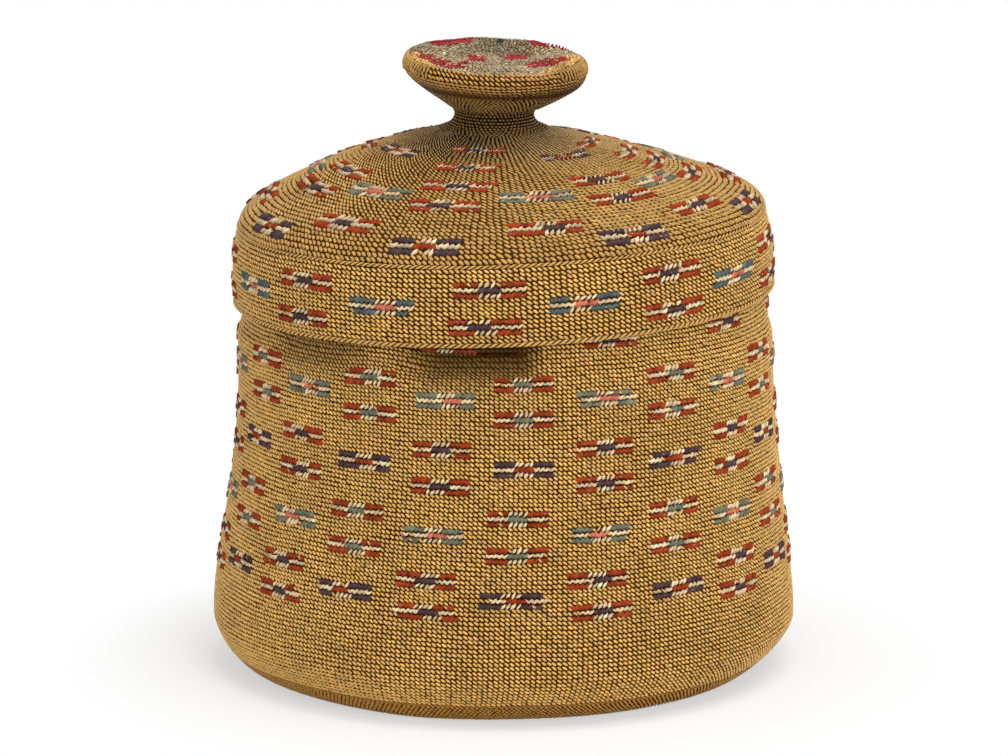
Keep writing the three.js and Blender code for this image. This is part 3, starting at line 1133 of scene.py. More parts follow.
# Corners of a square, and outlines of stitches seen from above, from their right-hand end
SQUARE = ((0.0, 0.0), (1.0, 0.0), (1.0, 1.0), (0.0, 1.0))
POINTED_RING = ((0.5, 0.0), (0.27, 0.42), (-0.2, 0.5), (-0.5, 0.0), (-0.27, -0.42), (0.2, -0.5))
ROUND_RING = tuple((0.5 * math.cos(a), 0.5 * math.sin(a)) for a in np.arange(8) * FULL_TURN / 8)
GRAIN_CREST = ((0.39, 0.0), (0.2, 0.27), (-0.15, 0.32), (-0.39, 0.0), (-0.2, -0.27), (0.15, -0.32))
PLAIN_CREST = ((0.2, 0.0), (-0.2, 0.0))
LUMP_CREST = ((0.42, 0.0), (0.0, 0.27), (-0.42, 0.0), (0.0, -0.27))
# How far a stitch reaches below its place, for a crest one unit high
SINK = 0.2
# Edge left free around each cell of the bake map
CELL_EDGE = 0.06
# Parts of a cell for the top and for the underside of a stitch
TOP_CELL = (0.0, 0.72)
UNDER_CELL = (0.78, 1.0)


def linked(name, data):
    """A new object in the scene."""
    thing = bpy.data.objects.new(name, data)
    bpy.context.scene.collection.objects.link(thing)
    return thing


def add_attribute(mesh, name, kind, values):
    """A named number, vector or colour on each point of a mesh."""
    field = {"FLOAT": "value", "FLOAT_VECTOR": "vector", "FLOAT_COLOR": "color"}[kind]
    attribute = mesh.attributes.new(name, kind, "POINT")
    attribute.data.foreach_set(field, np.asarray(values, np.float32).ravel())


def bake_cells(mesh, cells, faces_each):
    """Spreads the bake map so that each run of faces has a square of its own."""
    side = math.ceil(math.sqrt(cells))
    layer = mesh.uv_layers[BAKE_MAP]
    places = np.empty(len(mesh.loops) * 2, np.float32)
    layer.uv.foreach_get("vector", places)
    places = places.reshape(-1, 2)
    totals = np.empty(len(mesh.polygons), np.int32)
    mesh.polygons.foreach_get("loop_total", totals)
    cell = np.repeat(np.arange(len(mesh.polygons)) // faces_each, totals)
    corner = np.stack([cell % side, cell // side], axis=-1)
    places = (corner + CELL_EDGE + (1 - 2 * CELL_EDGE) * places) / side
    layer.uv.foreach_set("vector", places.astype(np.float32).ravel())


def quad_corners(mesh):
    """Gives each quad the whole unit square in the bake map."""
    layer = mesh.uv_layers.get(BAKE_MAP) or mesh.uv_layers.new(name=BAKE_MAP)
    squares = np.tile(SQUARE, (len(mesh.polygons), 1))
    layer.uv.foreach_set("vector", squares.astype(np.float32).ravel())


def finish_piece(piece, on):
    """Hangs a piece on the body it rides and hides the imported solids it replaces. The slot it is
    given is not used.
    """
    body, slot, nodes = on
    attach(piece, body)
    if nodes:
        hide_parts(*nodes)


def applied(name, source, modifier_group, settings):
    """A plain mesh object from a source mesh and a geometry tree, with the modifier gone."""
    thing = linked(name, source)
    modifier = thing.modifiers.new(modifier_group.name, "NODES")
    modifier.node_group = modifier_group
    for socket in modifier_group.interface.items_tree:
        if socket.in_out == "INPUT" and socket.name in settings:
            modifier[socket.identifier] = settings[socket.name]
    graph = bpy.context.evaluated_depsgraph_get()
    made = bpy.data.meshes.new_from_object(
        thing.evaluated_get(graph), preserve_all_data_layers=True, depsgraph=graph
    )
    thing.modifiers.clear()
    thing.data = made
    made.name = name
    made.materials.clear()
    made.materials.append(settings["Material"])
    bpy.data.meshes.remove(source)
    return thing


def stitch_shape(name, ring, crest):
    """A closed rice-grain stitch, one unit long and wide, its crest one unit high."""
    outer, inner = len(ring), len(crest)
    steps = [
        (math.atan2(y, x) % FULL_TURN or FULL_TURN, on_crest)
        for on_crest, outline in enumerate((ring, crest))
        for x, y in outline
    ]
    faces, at, over = [], 0, 0
    for _, on_crest in sorted(steps):
        if on_crest:
            faces.append((at % outer, outer + (over + 1) % inner, outer + over % inner))
            over += 1
        else:
            faces.append((at % outer, (at + 1) % outer, outer + over % inner))
            at += 1
    faces += [(outer, outer + i, outer + i + 1) for i in range(1, inner - 1)]
    top = len(faces)
    faces += [(0, i + 1, i) for i in range(1, outer - 1)]
    points = [(x, y, -SINK) for x, y in ring] + [(x, y, 1.0) for x, y in crest]
    mesh = bpy.data.meshes.new(name)
    mesh.from_pydata(points, [], faces)
    mesh.shade_smooth()
    layer = mesh.uv_layers.new(name=BAKE_MAP)
    for face in mesh.polygons:
        for loop in face.loop_indices:
            x, y, _ = mesh.vertices[mesh.loops[loop].vertex_index].co
            low, high = TOP_CELL if face.index < top else UNDER_CELL
            layer.uv[loop].vector = (x + 0.5, low + (high - low) * (y + 0.5))
    add_attribute(mesh, "crest", "FLOAT", [0.0] * outer + [1.0] * inner)
    add_attribute(mesh, "lie", "FLOAT_VECTOR", [(x, y, 0.0) for x, y, _ in points])
    return linked(name, mesh)


@cache
def grain():
    """A plump stitch of grass, for the outside."""
    return stitch_shape("grain", POINTED_RING, GRAIN_CREST)


@cache
def plain_grain():
    """A stitch of grass with a plain ridge, for linings and worn spots."""
    return stitch_shape("plain_grain", POINTED_RING, PLAIN_CREST)


@cache
def wool_lump():
    """A stitch of wool."""
    return stitch_shape("wool_lump", ROUND_RING, LUMP_CREST)


def point_mesh(name, lays):
    """A mesh of points that carry each stitch's directions, size and colour."""
    place, out, run, sizes, tint, lot = (np.concatenate(parts) for parts in zip(*lays))
    mesh = bpy.data.meshes.new(name)
    mesh.vertices.add(len(place))
    mesh.vertices.foreach_set("co", place.astype(np.float32).ravel())
    for label, values in (("out", out), ("run", run), ("size", sizes)):
        add_attribute(mesh, label, "FLOAT_VECTOR", values)
    tint = np.concatenate([tint, np.ones((len(tint), 1))], axis=1)
    add_attribute(mesh, "tint", "FLOAT_COLOR", tint)
    add_attribute(mesh, "lot", "FLOAT", lot)
    return mesh


def stitched_piece(name, lays, shape, material, on, seed):
    """A piece of stitches that share a shape and a material."""
    points = point_mesh(name + "_points", lays)
    count = len(points.vertices)
    settings = {"Stitch": shape, "Seed": seed, "Material": material}
    piece = applied(name, points, stitch_tree(), settings)
    for label in ("out", "run", "size"):
        if label in piece.data.attributes:
            piece.data.attributes.remove(piece.data.attributes[label])
    bake_cells(piece.data, count, len(piece.data.polygons) // count)
    finish_piece(piece, on)


def ground_piece(name, surface, span, depths, material, on, rows, sides, pole=None):
    """The closed shell behind the stitches, between two depths. A pole closes one of its ends."""
    lengths = np.linspace(*span, rows)
    lengths = {"start": lengths[1:], "end": lengths[:-1]}.get(pole, lengths)
    length, turn = np.meshgrid(lengths, even_turns(sides), indexing="ij")
    skins = [surface.place(length, turn, depth) for depth in depths]
    vertices = np.concatenate([skins[0], skins[1][::-1]]).reshape(-1, 3)
    count = 2 * len(lengths)
    near, far = len(vertices), len(vertices) + 1
    broken = {"start": count - 1, "end": len(lengths) - 1}.get(pole)
    left = np.arange(sides)
    right = (left + 1) % sides
    faces, places = [], []

    def strip(ring, corners, spots):
        """A ring of faces with their corners, and these corners' spots in the face's cell."""
        faces.extend(np.stack(np.broadcast_arrays(*corners), axis=-1).tolist())
        cells = [((left + x) / sides, (ring + y) / (count + 1) + 0.0 * left) for x, y in spots]
        places.append(np.array(cells).transpose(2, 0, 1).ravel())

    for ring in range(count):
        here, there = ring * sides, (ring + 1) % count * sides
        if ring == broken:
            strip(ring, (here + left, here + right, near), ((0, 0), (1, 0), (0.5, 1)))
            strip(count, (far, there + right, there + left), ((0.5, 0), (1, 1), (0, 1)))
        else:
            strip(ring, (here + left, here + right, there + right, there + left), SQUARE)
    if pole:
        middle = np.array([span[0] if pole == "start" else span[1]])
        order = depths[::-1] if pole == "start" else depths
        middles = [surface.place(middle, np.array([0.0]), depth) for depth in order]
        vertices = np.concatenate([vertices, *middles])
    mesh = bpy.data.meshes.new(name)
    mesh.from_pydata(vertices.tolist(), [], faces)
    mesh.shade_smooth()
    places = np.concatenate(places).astype(np.float32)
    mesh.uv_layers.new(name=BAKE_MAP).uv.foreach_set("vector", places)
    mesh.materials.append(material)
    finish_piece(linked(name, mesh), on)


def shell_depths(thickness):
    """Depths of the ground between the stitches and the lining of a shell."""
    return -bpy.context.scene.grass_weave.ground, LINING_ROOM - thickness


def ring_of(surface, length, depth):
    """Points on a closed ring round a surface, and how long the ring is."""
    points = surface.place(np.full(PATH_POINTS, length), even_turns(PATH_POINTS), depth)
    return points, FULL_TURN * surface.radius(length)


def cord_piece(name, ring, pitch, radius, material, on, strands, lean):
    """A twisted cord along a closed ring, its strands rising to the right or, at lean -1, left."""
    points, around = ring
    path = bpy.data.meshes.new(name + "_path")
    path.from_pydata(points.tolist(), [(i, (i + 1) % PATH_POINTS) for i in range(PATH_POINTS)], [])
    twists = round(around / (pitch * strands))
    lay, thick = (0.56, 0.42) if strands > 2 else (0.46, 0.54)
    settings = {
        "Strands": strands,
        "Twists": -twists * lean,
        "Lay radius": radius * lay,
        "Strand radius": radius * thick,
        "Samples": twists * 10,
        "Material": material,
    }
    piece = applied(name, path, cord_tree(), settings)
    piece.data.shade_smooth()
    quad_corners(piece.data)
    bake_cells(piece.data, len(piece.data.polygons), 1)
    finish_piece(piece, on)


# Styles of stitch


def grain_style(**changes):
    """A stitch of split grass. Slant, reach, breadth and beside are shares of its row and column."""
    crest = bpy.context.scene.grass_weave.crest
    style = {"slant": -0.98, "reach": 1.05, "breadth": 0.67, "height": crest, "depth": -crest}
    style.update(beside=0.0, stray=0.05, uneven=0.05, inside=False)
    return {**style, **changes}


def ply_style(lean, **changes):
    """One of the two plies of a wool stitch, leaning to one side."""
    crest = bpy.context.scene.grass_weave.crest
    if lean > 0:
        style = {"slant": 1.5, "reach": 1.16, "breadth": 0.95, "height": crest * 2.5}
    else:
        style = {"slant": -1.3, "reach": 1.0, "breadth": 1.3, "height": crest * 1.7}
    style.update(beside=0.25 * lean, stray=0.16, uneven=0.14)
    return grain_style(**{**style, **changes})


def lay_weave(name, weave, base, on, seed, splits=1, **changes):
    """Lays the grass and the wool of a weave as pieces, the grass split into bands of rows."""
    style = grain_style(**changes)
    tints = straw_tints(weave, base, seed)
    for index, band in enumerate(np.array_split(np.arange(len(weave.lengths)), splits)):
        chosen = (weave.yarn == 0) & (weave.row >= band[0]) & (weave.row <= band[-1])
        label = name if splits == 1 else f"{name}_{index + 1}"
        lay = laid(weave, chosen, style, tints, seed + index)
        stitched_piece(label, [lay], grain(), grass(), on, seed + index)
    if weave.yarn.any():
        lay_wool(name, weave, on, seed)


def lay_wool(name, weave, on, seed):
    """Lays the cream and the dyed wool of a weave, with bared grass where it is worn."""
    scene = bpy.context.scene
    tints = wool_tints(weave, seed + 9)
    cream = weave.yarn == CREAM
    dyed = (weave.yarn != 0) & ~cream
    middle, outer = cream & weave.middle, cream & ~weave.middle
    height, breadth = scene.grass_weave.crest * 2.1, 0.88 * weave.fullness[outer] ** 2
    slim = ply_style(1, beside=0.0, slant=1.25, height=height, breadth=breadth)
    cream_lays, dyed_lays = [laid(weave, outer, slim, tints, seed + 10)], []
    for lean in (-1, 1):
        full = ply_style(lean, slant=1.1 * lean, breadth=0.8 * weave.fullness[middle], reach=1.0)
        cream_lays.append(laid(weave, middle, full, tints, seed + 10))
        dyed_lays.append(laid(weave, dyed, ply_style(lean), tints, seed + 11))
    stitched_piece(name + "_cream_wool", cream_lays, wool_lump(), wool(), on, seed + 12)
    stitched_piece(name + "_dyed_wool", dyed_lays, wool_lump(), wool(), on, seed + 16)
    bared = dyed & weave.bared
    if bared.any():
        straw = straw_tints(weave, scene.grass_colours.cream, seed + 13, 0.0)
        style = grain_style(slant=-0.9, reach=0.62, breadth=0.5, height=0.00035, depth=0.0)
        lay = laid(weave, bared, style, 0.62 * straw + 0.38 * tints, seed + 14)
        stitched_piece(name + "_worn_spots", [lay], plain_grain(), grass(), on, seed + 15)


def lay_lining(name, weave, height, thickness, on, seed):
    """Lays the plain stitches of an inside."""
    style = grain_style(inside=True, slant=1.0, height=height, depth=LINING_ROOM - thickness)
    tints = straw_tints(weave, bpy.context.scene.grass_colours.lining, seed + 1)
    lay = laid(weave, slice(None), style, tints, seed + 2)
    stitched_piece(name, [lay], plain_grain(), grass(), on, seed + 3)


def line_lid(name, surface, lengths, pitch, on, seed):
    """Lines a part of the lid."""
    weave = Weave(surface, lengths, closing_turns(fitting(surface, lengths, pitch, 7)), seed)
    lay_lining(name, weave, LID_LINING_RISE, bpy.context.scene.grass_lid.thickness, on, seed)


# Embroidery plan, angles in degrees from the front


def stepped(middle, step):
    """Angles of the five columns seen, evenly apart."""
    return [middle + step * i for i in range(-2, 3)]


def closed_columns(front, repeats):
    """Angles of all columns: those seen at the front, then evenly spaced ones behind."""
    rest = repeats - len(front)
    behind = (front[0] + 360 - front[-1]) / (rest + 1)
    return [*front, *(front[-1] + behind * (i + 1) for i in range(rest))]


# Tiers of the wall: middle height, half the distance of its paired figures, their inner colour,
# the outer and inner colours of its single figures, then the angles of pairs and of single ones
WALL_TIERS = (
    (0.1115, 0.0050, PURPLE, PURPLE, RED, (-44.3, -11.4, 22.7, 54.4, 87.3), stepped(3.9, 32.9)),
    (
        0.0911,
        0.0050,
        GREEN,
        GREEN,
        SALMON,
        (-60.6, -28.2, 4.2, 37.3, 69.0),
        (-44.2, -11.8, 21.5, 53.8, 85.4),
    ),
    (0.0725, 0.0049, PURPLE, PURPLE, RED, stepped(20.6, 33.6), stepped(3.6, 33.6)),
    (0.0533, 0.0046, GREEN, GREEN, SALMON, stepped(2.6, 33.6), stepped(20.0, 33.6)),
    (0.0369, 0.0042, PURPLE, PURPLE, RED, stepped(19.1, 33.8), stepped(2.2, 33.8)),
)

# Figures of the skirt: height from the shoulder, outer and inner colours, angles at the front
SKIRT_FIGURES = (
    (-0.0066, RED, PURPLE, (-84.4, -44.2, -1.9, 37.8, 77.0)),
    (-0.0167, RED, PURPLE, (-84.4, -45.3, -3.1, 37.8, 77.0)),
    (-0.0116, TEAL, SALMON, (-64.2, -25.4, 17.4, 57.0, 96.6)),
)

# Figures of the dome: radius, outer and inner colours, angles
DOME_FIGURES = (
    (0.0718, PURPLE, RED, (-106, -62, -16, 31, 75, 120, 165, 211)),
    (0.0660, RED, PURPLE, (-88, -40, 12, 57, 98, 145, 189, 232)),
    (0.0548, RED, PURPLE, (-67, -15, 39, 84, 138, 190, 242)),
    (0.0505, GREEN, SALMON, (-92, -40, 13, 61, 111, 164, 216)),
    (0.0462, RED, PURPLE, (-64, -12, 40, 86, 138, 190, 242)),
    (0.0385, RED, PURPLE, (83,)),
    (0.0360, RED, PURPLE, (-95, -12, 180)),
    (0.0315, PURPLE, RED, (-60, 41, 130, 230)),
    (0.0280, RED, PURPLE, (80,)),
    (0.0245, RED, PURPLE, (-10, 180)),
)

# Crimson patches of the knob's top: middle to the right and to the back, half sizes,
# and rise to the back per unit right
PATCHES = (
    (-0.0170, -0.0012, 0.0046, 0.0046, -0.05),
    (-0.0110, -0.0040, 0.0030, 0.0030, -0.05),
    (-0.0125, 0.0192, 0.0060, 0.0036, 0.60),
    (-0.0053, 0.0040, 0.0024, 0.0046, 0.0),
    (0.0061, 0.0095, 0.0031, 0.0040, 0.0),
    (0.0150, -0.0030, 0.0056, 0.0040, 0.35),
    (0.0122, 0.0212, 0.0028, 0.0028, -0.60),
    (0.0180, 0.0168, 0.0020, 0.0020, -0.90),
)


def on_patch(radius, turn, rng):
    """Whether each stitch of the knob's top belongs to a crimson patch with its ragged edge."""
    right, back = radius * np.sin(turn), -radius * np.cos(turn)
    ragged = 1 + 0.12 * rng.normal(0, 1, (2, len(turn)))
    found = np.zeros(len(turn), bool)
    for x, y, half_x, half_y, slope in PATCHES:
        aside = np.abs(right - x) / (half_x * ragged[0])
        along = np.abs(back - y - slope * (right - x)) / (half_y * ragged[1])
        found |= (aside < 1) & (along < 1)
    return found & (rng.random(len(turn)) < 0.88)


# Operators


class GRASS_OT_twine_base(bpy.types.Operator):
    """Twines the round bottom of the basket, outside and inside"""

    bl_idname = "grass.twine_base"
    bl_label = "Twine base"

    PITCH = 0.0020
    FOOT_ROW = 0.00095
    # Turn of each row of the foot against the one below
    FOOT_DRIFT = 0.0065
    # Room left at the foot cord
    CORD_ROOM = 0.0004
    LINING_ROW = 0.0022
    LINING_PITCH = 0.0025

    def execute(self, context):
        scene = context.scene
        body, sizes, colours = scene.grass_body, scene.grass_weave, scene.grass_colours
        flat, wall = underside(scene), body_surface(scene)
        foot = wall.at_height(body.foot_cord_height)
        depths = shell_depths(body.thickness)
        dark = weave_ground()
        on, beside = (BASKET, "grass_straw", ("base",)), (BASKET, "grass_straw", ())
        ground_piece("base_ground", flat, (0.0, flat.total), depths, dark, on, 12, 160, "start")
        ground_piece("foot_ground", wall, (0.0, foot), depths, dark, beside, 12, 160)

        rows = int(flat.total / sizes.base_row)
        lengths = flat.total - (np.arange(rows) + 0.5) * sizes.base_row
        weave = Weave(flat, lengths, closing_turns(fitting(flat, lengths, self.PITCH, 9)), 21)
        full = {"height": 0.0005, "depth": -0.0006, "reach": 0.88}
        lay_weave("base_grass", weave, colours.foot_straw, on, 22, **full)

        lengths = row_middles(0.0, foot - self.CORD_ROOM, self.FOOT_ROW)
        columns = sizes.wall_stitches
        turns = [even_turns(columns, self.FOOT_DRIFT * row) for row in range(len(lengths))]
        weave = Weave(wall, lengths, turns, 23)
        beads = {"height": 0.00042, "depth": -0.0005, "slant": -0.6, "reach": 0.72, "breadth": 0.62}
        lay_weave("foot_grass", weave, colours.foot_straw, on, 24, **beads)

        rows = int(flat.total / self.LINING_ROW)
        lengths = flat.total - (np.arange(rows) + 0.3) * self.LINING_ROW
        counts = fitting(flat, lengths, self.LINING_PITCH, 7)
        weave = Weave(flat, lengths, closing_turns(counts), 31)
        lay_lining("base_lining", weave, LINING_RISE, body.thickness, on, 31)
        return {"FINISHED"}


class GRASS_OT_twine_wall(bpy.types.Operator):
    """Twines the wall, its neck under the lid, its lining and its embroidery"""

    bl_idname = "grass.twine_wall"
    bl_label = "Twine wall"

    COLUMNS = 11
    # Room left at the foot cord
    CORD_ROOM = 0.0007
    # Turn of each row against the one below, in stitches
    DRIFT = 0.06
    # Share of its depth by which a hollow draws the rows down
    SAG = 0.35
    LINING_ROW = 0.0020
    LINING_STITCHES = 200

    def execute(self, context):
        scene = context.scene
        body, sizes, colours = scene.grass_body, scene.grass_weave, scene.grass_colours
        wall = body_surface(scene)
        on = (BASKET, "grass_straw", ("wall",))
        start = wall.at_height(body.foot_cord_height) + self.CORD_ROOM
        depths = shell_depths(body.thickness)
        ground_piece("wall_ground", wall, (start, wall.total), depths, weave_ground(), on, 60, 180)

        lengths = row_middles(start, wall.total, sizes.wall_row)
        columns = sizes.wall_stitches
        turns = [even_turns(columns, self.DRIFT * row / columns) for row in range(len(lengths))]
        weave = Weave(wall, lengths, turns, 41, sizes.wave)
        weave.length -= self.SAG * hollow(wall.height(weave.length), weave.turn)
        self.embroider(weave, sizes.worn)
        # Painted shadow of the lid's low edge: the grass in the hollows below it darkens with their
        # depth
        painted_shadow = hollow(wall.height(weave.length), weave.turn)[:, None] / HOLLOW_DEPTH
        base = np.asarray(colours.straw) * np.maximum(1 - painted_shadow * (0.88, 0.9, 0.95), 0.12)
        lay_weave("wall_grass", weave, base, on, 42, splits=4)

        lengths = row_middles(start, wall.total, self.LINING_ROW)
        weave = Weave(wall, lengths, [even_turns(self.LINING_STITCHES) for _ in lengths], 51)
        lay_lining("wall_lining", weave, LINING_RISE, body.thickness, on, 51)
        return {"FINISHED"}

    def embroider(self, weave, worn):
        """Each tier: columns of two figures around a middle height, and single ones between."""
        level = weave.surface.at_height
        for height, half, centre, outer, inner, pairs, singles in WALL_TIERS:
            for angle in closed_columns(pairs, self.COLUMNS):
                for side in (-half, half):
                    weave.embroider(math.radians(angle), level(height + side), RED, centre, worn)
            for angle in closed_columns(singles, self.COLUMNS):
                weave.embroider(math.radians(angle), level(height), outer, inner, worn)


class GRASS_OT_twist_cords(bpy.types.Operator):
    """Twists the cords of the foot, the mouth, the lid's edge and its shoulder"""

    bl_idname = "grass.twist_cords"
    bl_label = "Twist cords"

    # How deep the middle lines of the foot and shoulder cords lie under the outside
    FOOT_DEPTH = 0.0007
    SHOULDER_DEPTH = 0.0003
    # The edge cord's line lies half way between these two depths below the skirt's lower edge
    EDGE_BELOW = (0.0016, 0.0010)

    def execute(self, context):
        scene = context.scene
        body, lid, colours = scene.grass_body, scene.grass_lid, scene.grass_colours
        wall, skirt = body_surface(scene), skirt_surface(scene)
        golden = cord_material("twisted_cord", colours.cord_straw, 0.8)
        shaded = cord_material("foot_cord", colours.foot_straw, 0.6)
        foot = ring_of(wall, wall.at_height(body.foot_cord_height), -self.FOOT_DEPTH)
        shoulder = ring_of(skirt, skirt.total, -self.SHOULDER_DEPTH)
        radius = skirt_radius(body, lid) - lid.thickness + lid.edge_cord
        run = tuple((radius, -lid.skirt_depth - below) for below in self.EDGE_BELOW)
        edge = Surface((run,), sway_lid(scene), slack(7, 0.0003, 0.02))
        edge = ring_of(edge, edge.total / 2, 0.0)
        mouth, thick = self.mouth_ring()
        for name, holder, node, ring, pitch, half, material, strands, lean in (
            ("foot_cord_twist", BASKET, "foot_cord", foot, 0.0016, 0.0007, shaded, 3, -1),
            ("mouth_border_twist", BASKET, "mouth_border", mouth, 0.0021, thick, golden, 3, 1),
            ("shoulder_cord_twist", LID, "shoulder_cord", shoulder, 0.0018, 0.00058, golden, 2, 1),
            ("lid_edge_twist", LID, "lid_edge_cord", edge, 0.0019, 0.00068, golden, 2, 1),
        ):
            on = (holder, "grass_cord", (node,))
            cord_piece(name, ring, pitch, half, material, on, strands, lean)
        return {"FINISHED"}

    @staticmethod
    def mouth_ring():
        """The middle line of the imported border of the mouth, its length, and the border's radius."""
        low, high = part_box("mouth_border")
        thick = (high[2] - low[2]) / 2
        ring = (high[0] - low[0]) / 2 - thick
        turns = even_turns(PATH_POINTS)
        level = np.full(PATH_POINTS, (low[2] + high[2]) / 2)
        across = (low[0] + high[0]) / 2 + ring * np.sin(turns)
        points = np.stack([across, -ring * np.cos(turns), level], axis=-1)
        return (points, FULL_TURN * ring), thick


class GRASS_OT_twine_skirt(bpy.types.Operator):
    """Twines the band of the lid that slips over the mouth"""

    bl_idname = "grass.twine_skirt"
    bl_label = "Twine skirt"

    COLUMNS = 9
    # Room left at the shoulder cord
    CORD_ROOM = 0.0006
    LINING_ROW = 0.0016
    LINING_PITCH = 0.0019

    def execute(self, context):
        scene = context.scene
        lid, sizes, colours = scene.grass_lid, scene.grass_weave, scene.grass_colours
        skirt = skirt_surface(scene)
        end = skirt.total - self.CORD_ROOM
        on = (LID, "grass_straw", ("lid_skirt",))
        depths = shell_depths(lid.thickness)
        ground_piece("skirt_ground", skirt, (0.0, end), depths, weave_ground(), on, 18, 240)
        lengths = row_middles(0.0, end, sizes.lid_row)
        weave = Weave(skirt, lengths, [even_turns(sizes.lid_stitches) for _ in lengths], 61, 0.0002)
        for height, outer, inner, front in SKIRT_FIGURES:
            for angle in closed_columns(front, self.COLUMNS):
                level = skirt.at_height(height)
                weave.embroider(math.radians(angle), level, outer, inner, sizes.worn)
        lay_weave("skirt_grass", weave, colours.straw, on, 62)
        lengths = row_middles(0.0, end, self.LINING_ROW)
        line_lid("skirt_lining", skirt, lengths, self.LINING_PITCH, on, 71)
        return {"FINISHED"}


class GRASS_OT_twine_dome(bpy.types.Operator):
    """Twines the low dome and its embroidery"""

    bl_idname = "grass.twine_dome"
    bl_label = "Twine dome"

    # Radius within which the ground is as dark as the neck's, as painted shade near the knob
    CROWN_RADIUS = 0.030
    # Room left at the shoulder cord
    CORD_ROOM = 0.0005
    LINING_ROW = 0.0020
    LINING_PITCH = 0.0024
    # Pitch of the columns near the knob, and what it gains outwards
    INNER_PITCH = 0.00110
    PITCH_GAIN = 0.00058
    # Radius where each change begins and how far it takes: wider columns, taller rows, fuller
    # stitches, full stitches. Painted shade of the knob's cap darkens the dome up to the last radius
    WIDER = (0.018, 0.030)
    TALLER = (0.014, 0.055)
    FULLER = (0.022, 0.030)
    FULL = (0.058, 0.010)
    PAINTED_KNOB_SHADE = (0.044, 0.028)
    CREAM_LEVEL = 0.84

    def execute(self, context):
        scene = context.scene
        lid, sizes, colours = scene.grass_lid, scene.grass_weave, scene.grass_colours
        dome = dome_surface(scene)
        start, crown, end = self.CORD_ROOM, dome.at_radius(self.CROWN_RADIUS), dome.total
        on, beside = (LID, "dome_grass", ("lid_dome",)), (LID, "dome_grass", ())
        depths = shell_depths(lid.thickness)
        ground_piece("dome_ground", dome, (start, crown), depths, weave_ground(), on, 36, 150)
        darkest = neck_ground()
        ground_piece("dome_crown_ground", dome, (crown, end), depths, darkest, beside, 16, 96)

        def pitch_at(length):
            return sizes.dome_row * (0.6 + 0.4 * rising(dome.radius(length), *self.TALLER))

        lengths = spaced(start, end, pitch_at)
        radii = dome.radius(lengths)
        wider = np.clip((radii - self.WIDER[0]) / self.WIDER[1], 0, 1)
        gaps = self.INNER_PITCH + self.PITCH_GAIN * wider
        counts = narrowing(sizes.lid_stitches, radii, gaps)
        weave = Weave(dome, lengths, closing_turns(counts), 81, 0.0002)
        radius = radii[weave.row]
        outward = rising(radius, *self.FULLER)
        weave.fullness = 0.58 + 0.32 * outward + 0.1 * rising(radius, *self.FULL)
        weave.steepness = 1.6 - 0.6 * outward
        weave.cream_level = self.CREAM_LEVEL
        for at, outer, inner, angles in DOME_FIGURES:
            for angle in angles:
                level = dome.at_radius(at)
                weave.embroider(math.radians(angle), level, outer, inner, sizes.worn)
        # The dome turns darker and greyer towards the knob, as painted shade under the knob's cap
        painted_knob_shade = np.asarray(colours.painted_shade_neck_straw) * (1.3, 1.4, 1.75)
        base = between(colours.dome_straw, painted_knob_shade, falling(radius, *self.PAINTED_KNOB_SHADE))
        lay_weave("dome_grass", weave, base, on, 82, splits=2)
        lengths = row_middles(start, end, self.LINING_ROW)
        line_lid("dome_lining", dome, lengths, self.LINING_PITCH, on, 91)
        return {"FINISHED"}


class GRASS_OT_twine_neck(bpy.types.Operator):
    """Twines the dark waist of the knob"""

    bl_idname = "grass.twine_neck"
    bl_label = "Twine neck"

    COLUMNS = 66
    GROUND = 0.0005
    # About half a stitch, by which every second row stands aside
    STAGGER = 0.048

    def execute(self, context):
        scene = context.scene
        knob, sizes, colours = scene.grass_knob, scene.grass_weave, scene.grass_colours
        neck = neck_surface(scene)
        on = (LID, "neck_grass", ("knob_neck",))
        depths = (-self.GROUND, KNOB_ROOM - knob.thickness)
        ground_piece("neck_ground", neck, (0.0, neck.total), depths, neck_ground(), on, 20, 96)
        lengths = row_middles(0.0, neck.total, sizes.knob_row)
        rows = range(len(lengths))
        turns = [even_turns(self.COLUMNS, self.STAGGER * (row % 2)) for row in rows]
        weave = Weave(neck, lengths, turns, 101)
        beads = {
            "height": 0.00032, "depth": -0.00045, "reach": 0.66, "breadth": 0.74, "slant": -0.5
        }
        lay_weave("neck_grass", weave, colours.painted_shade_neck_straw, on, 102, **beads)
        return {"FINISHED"}


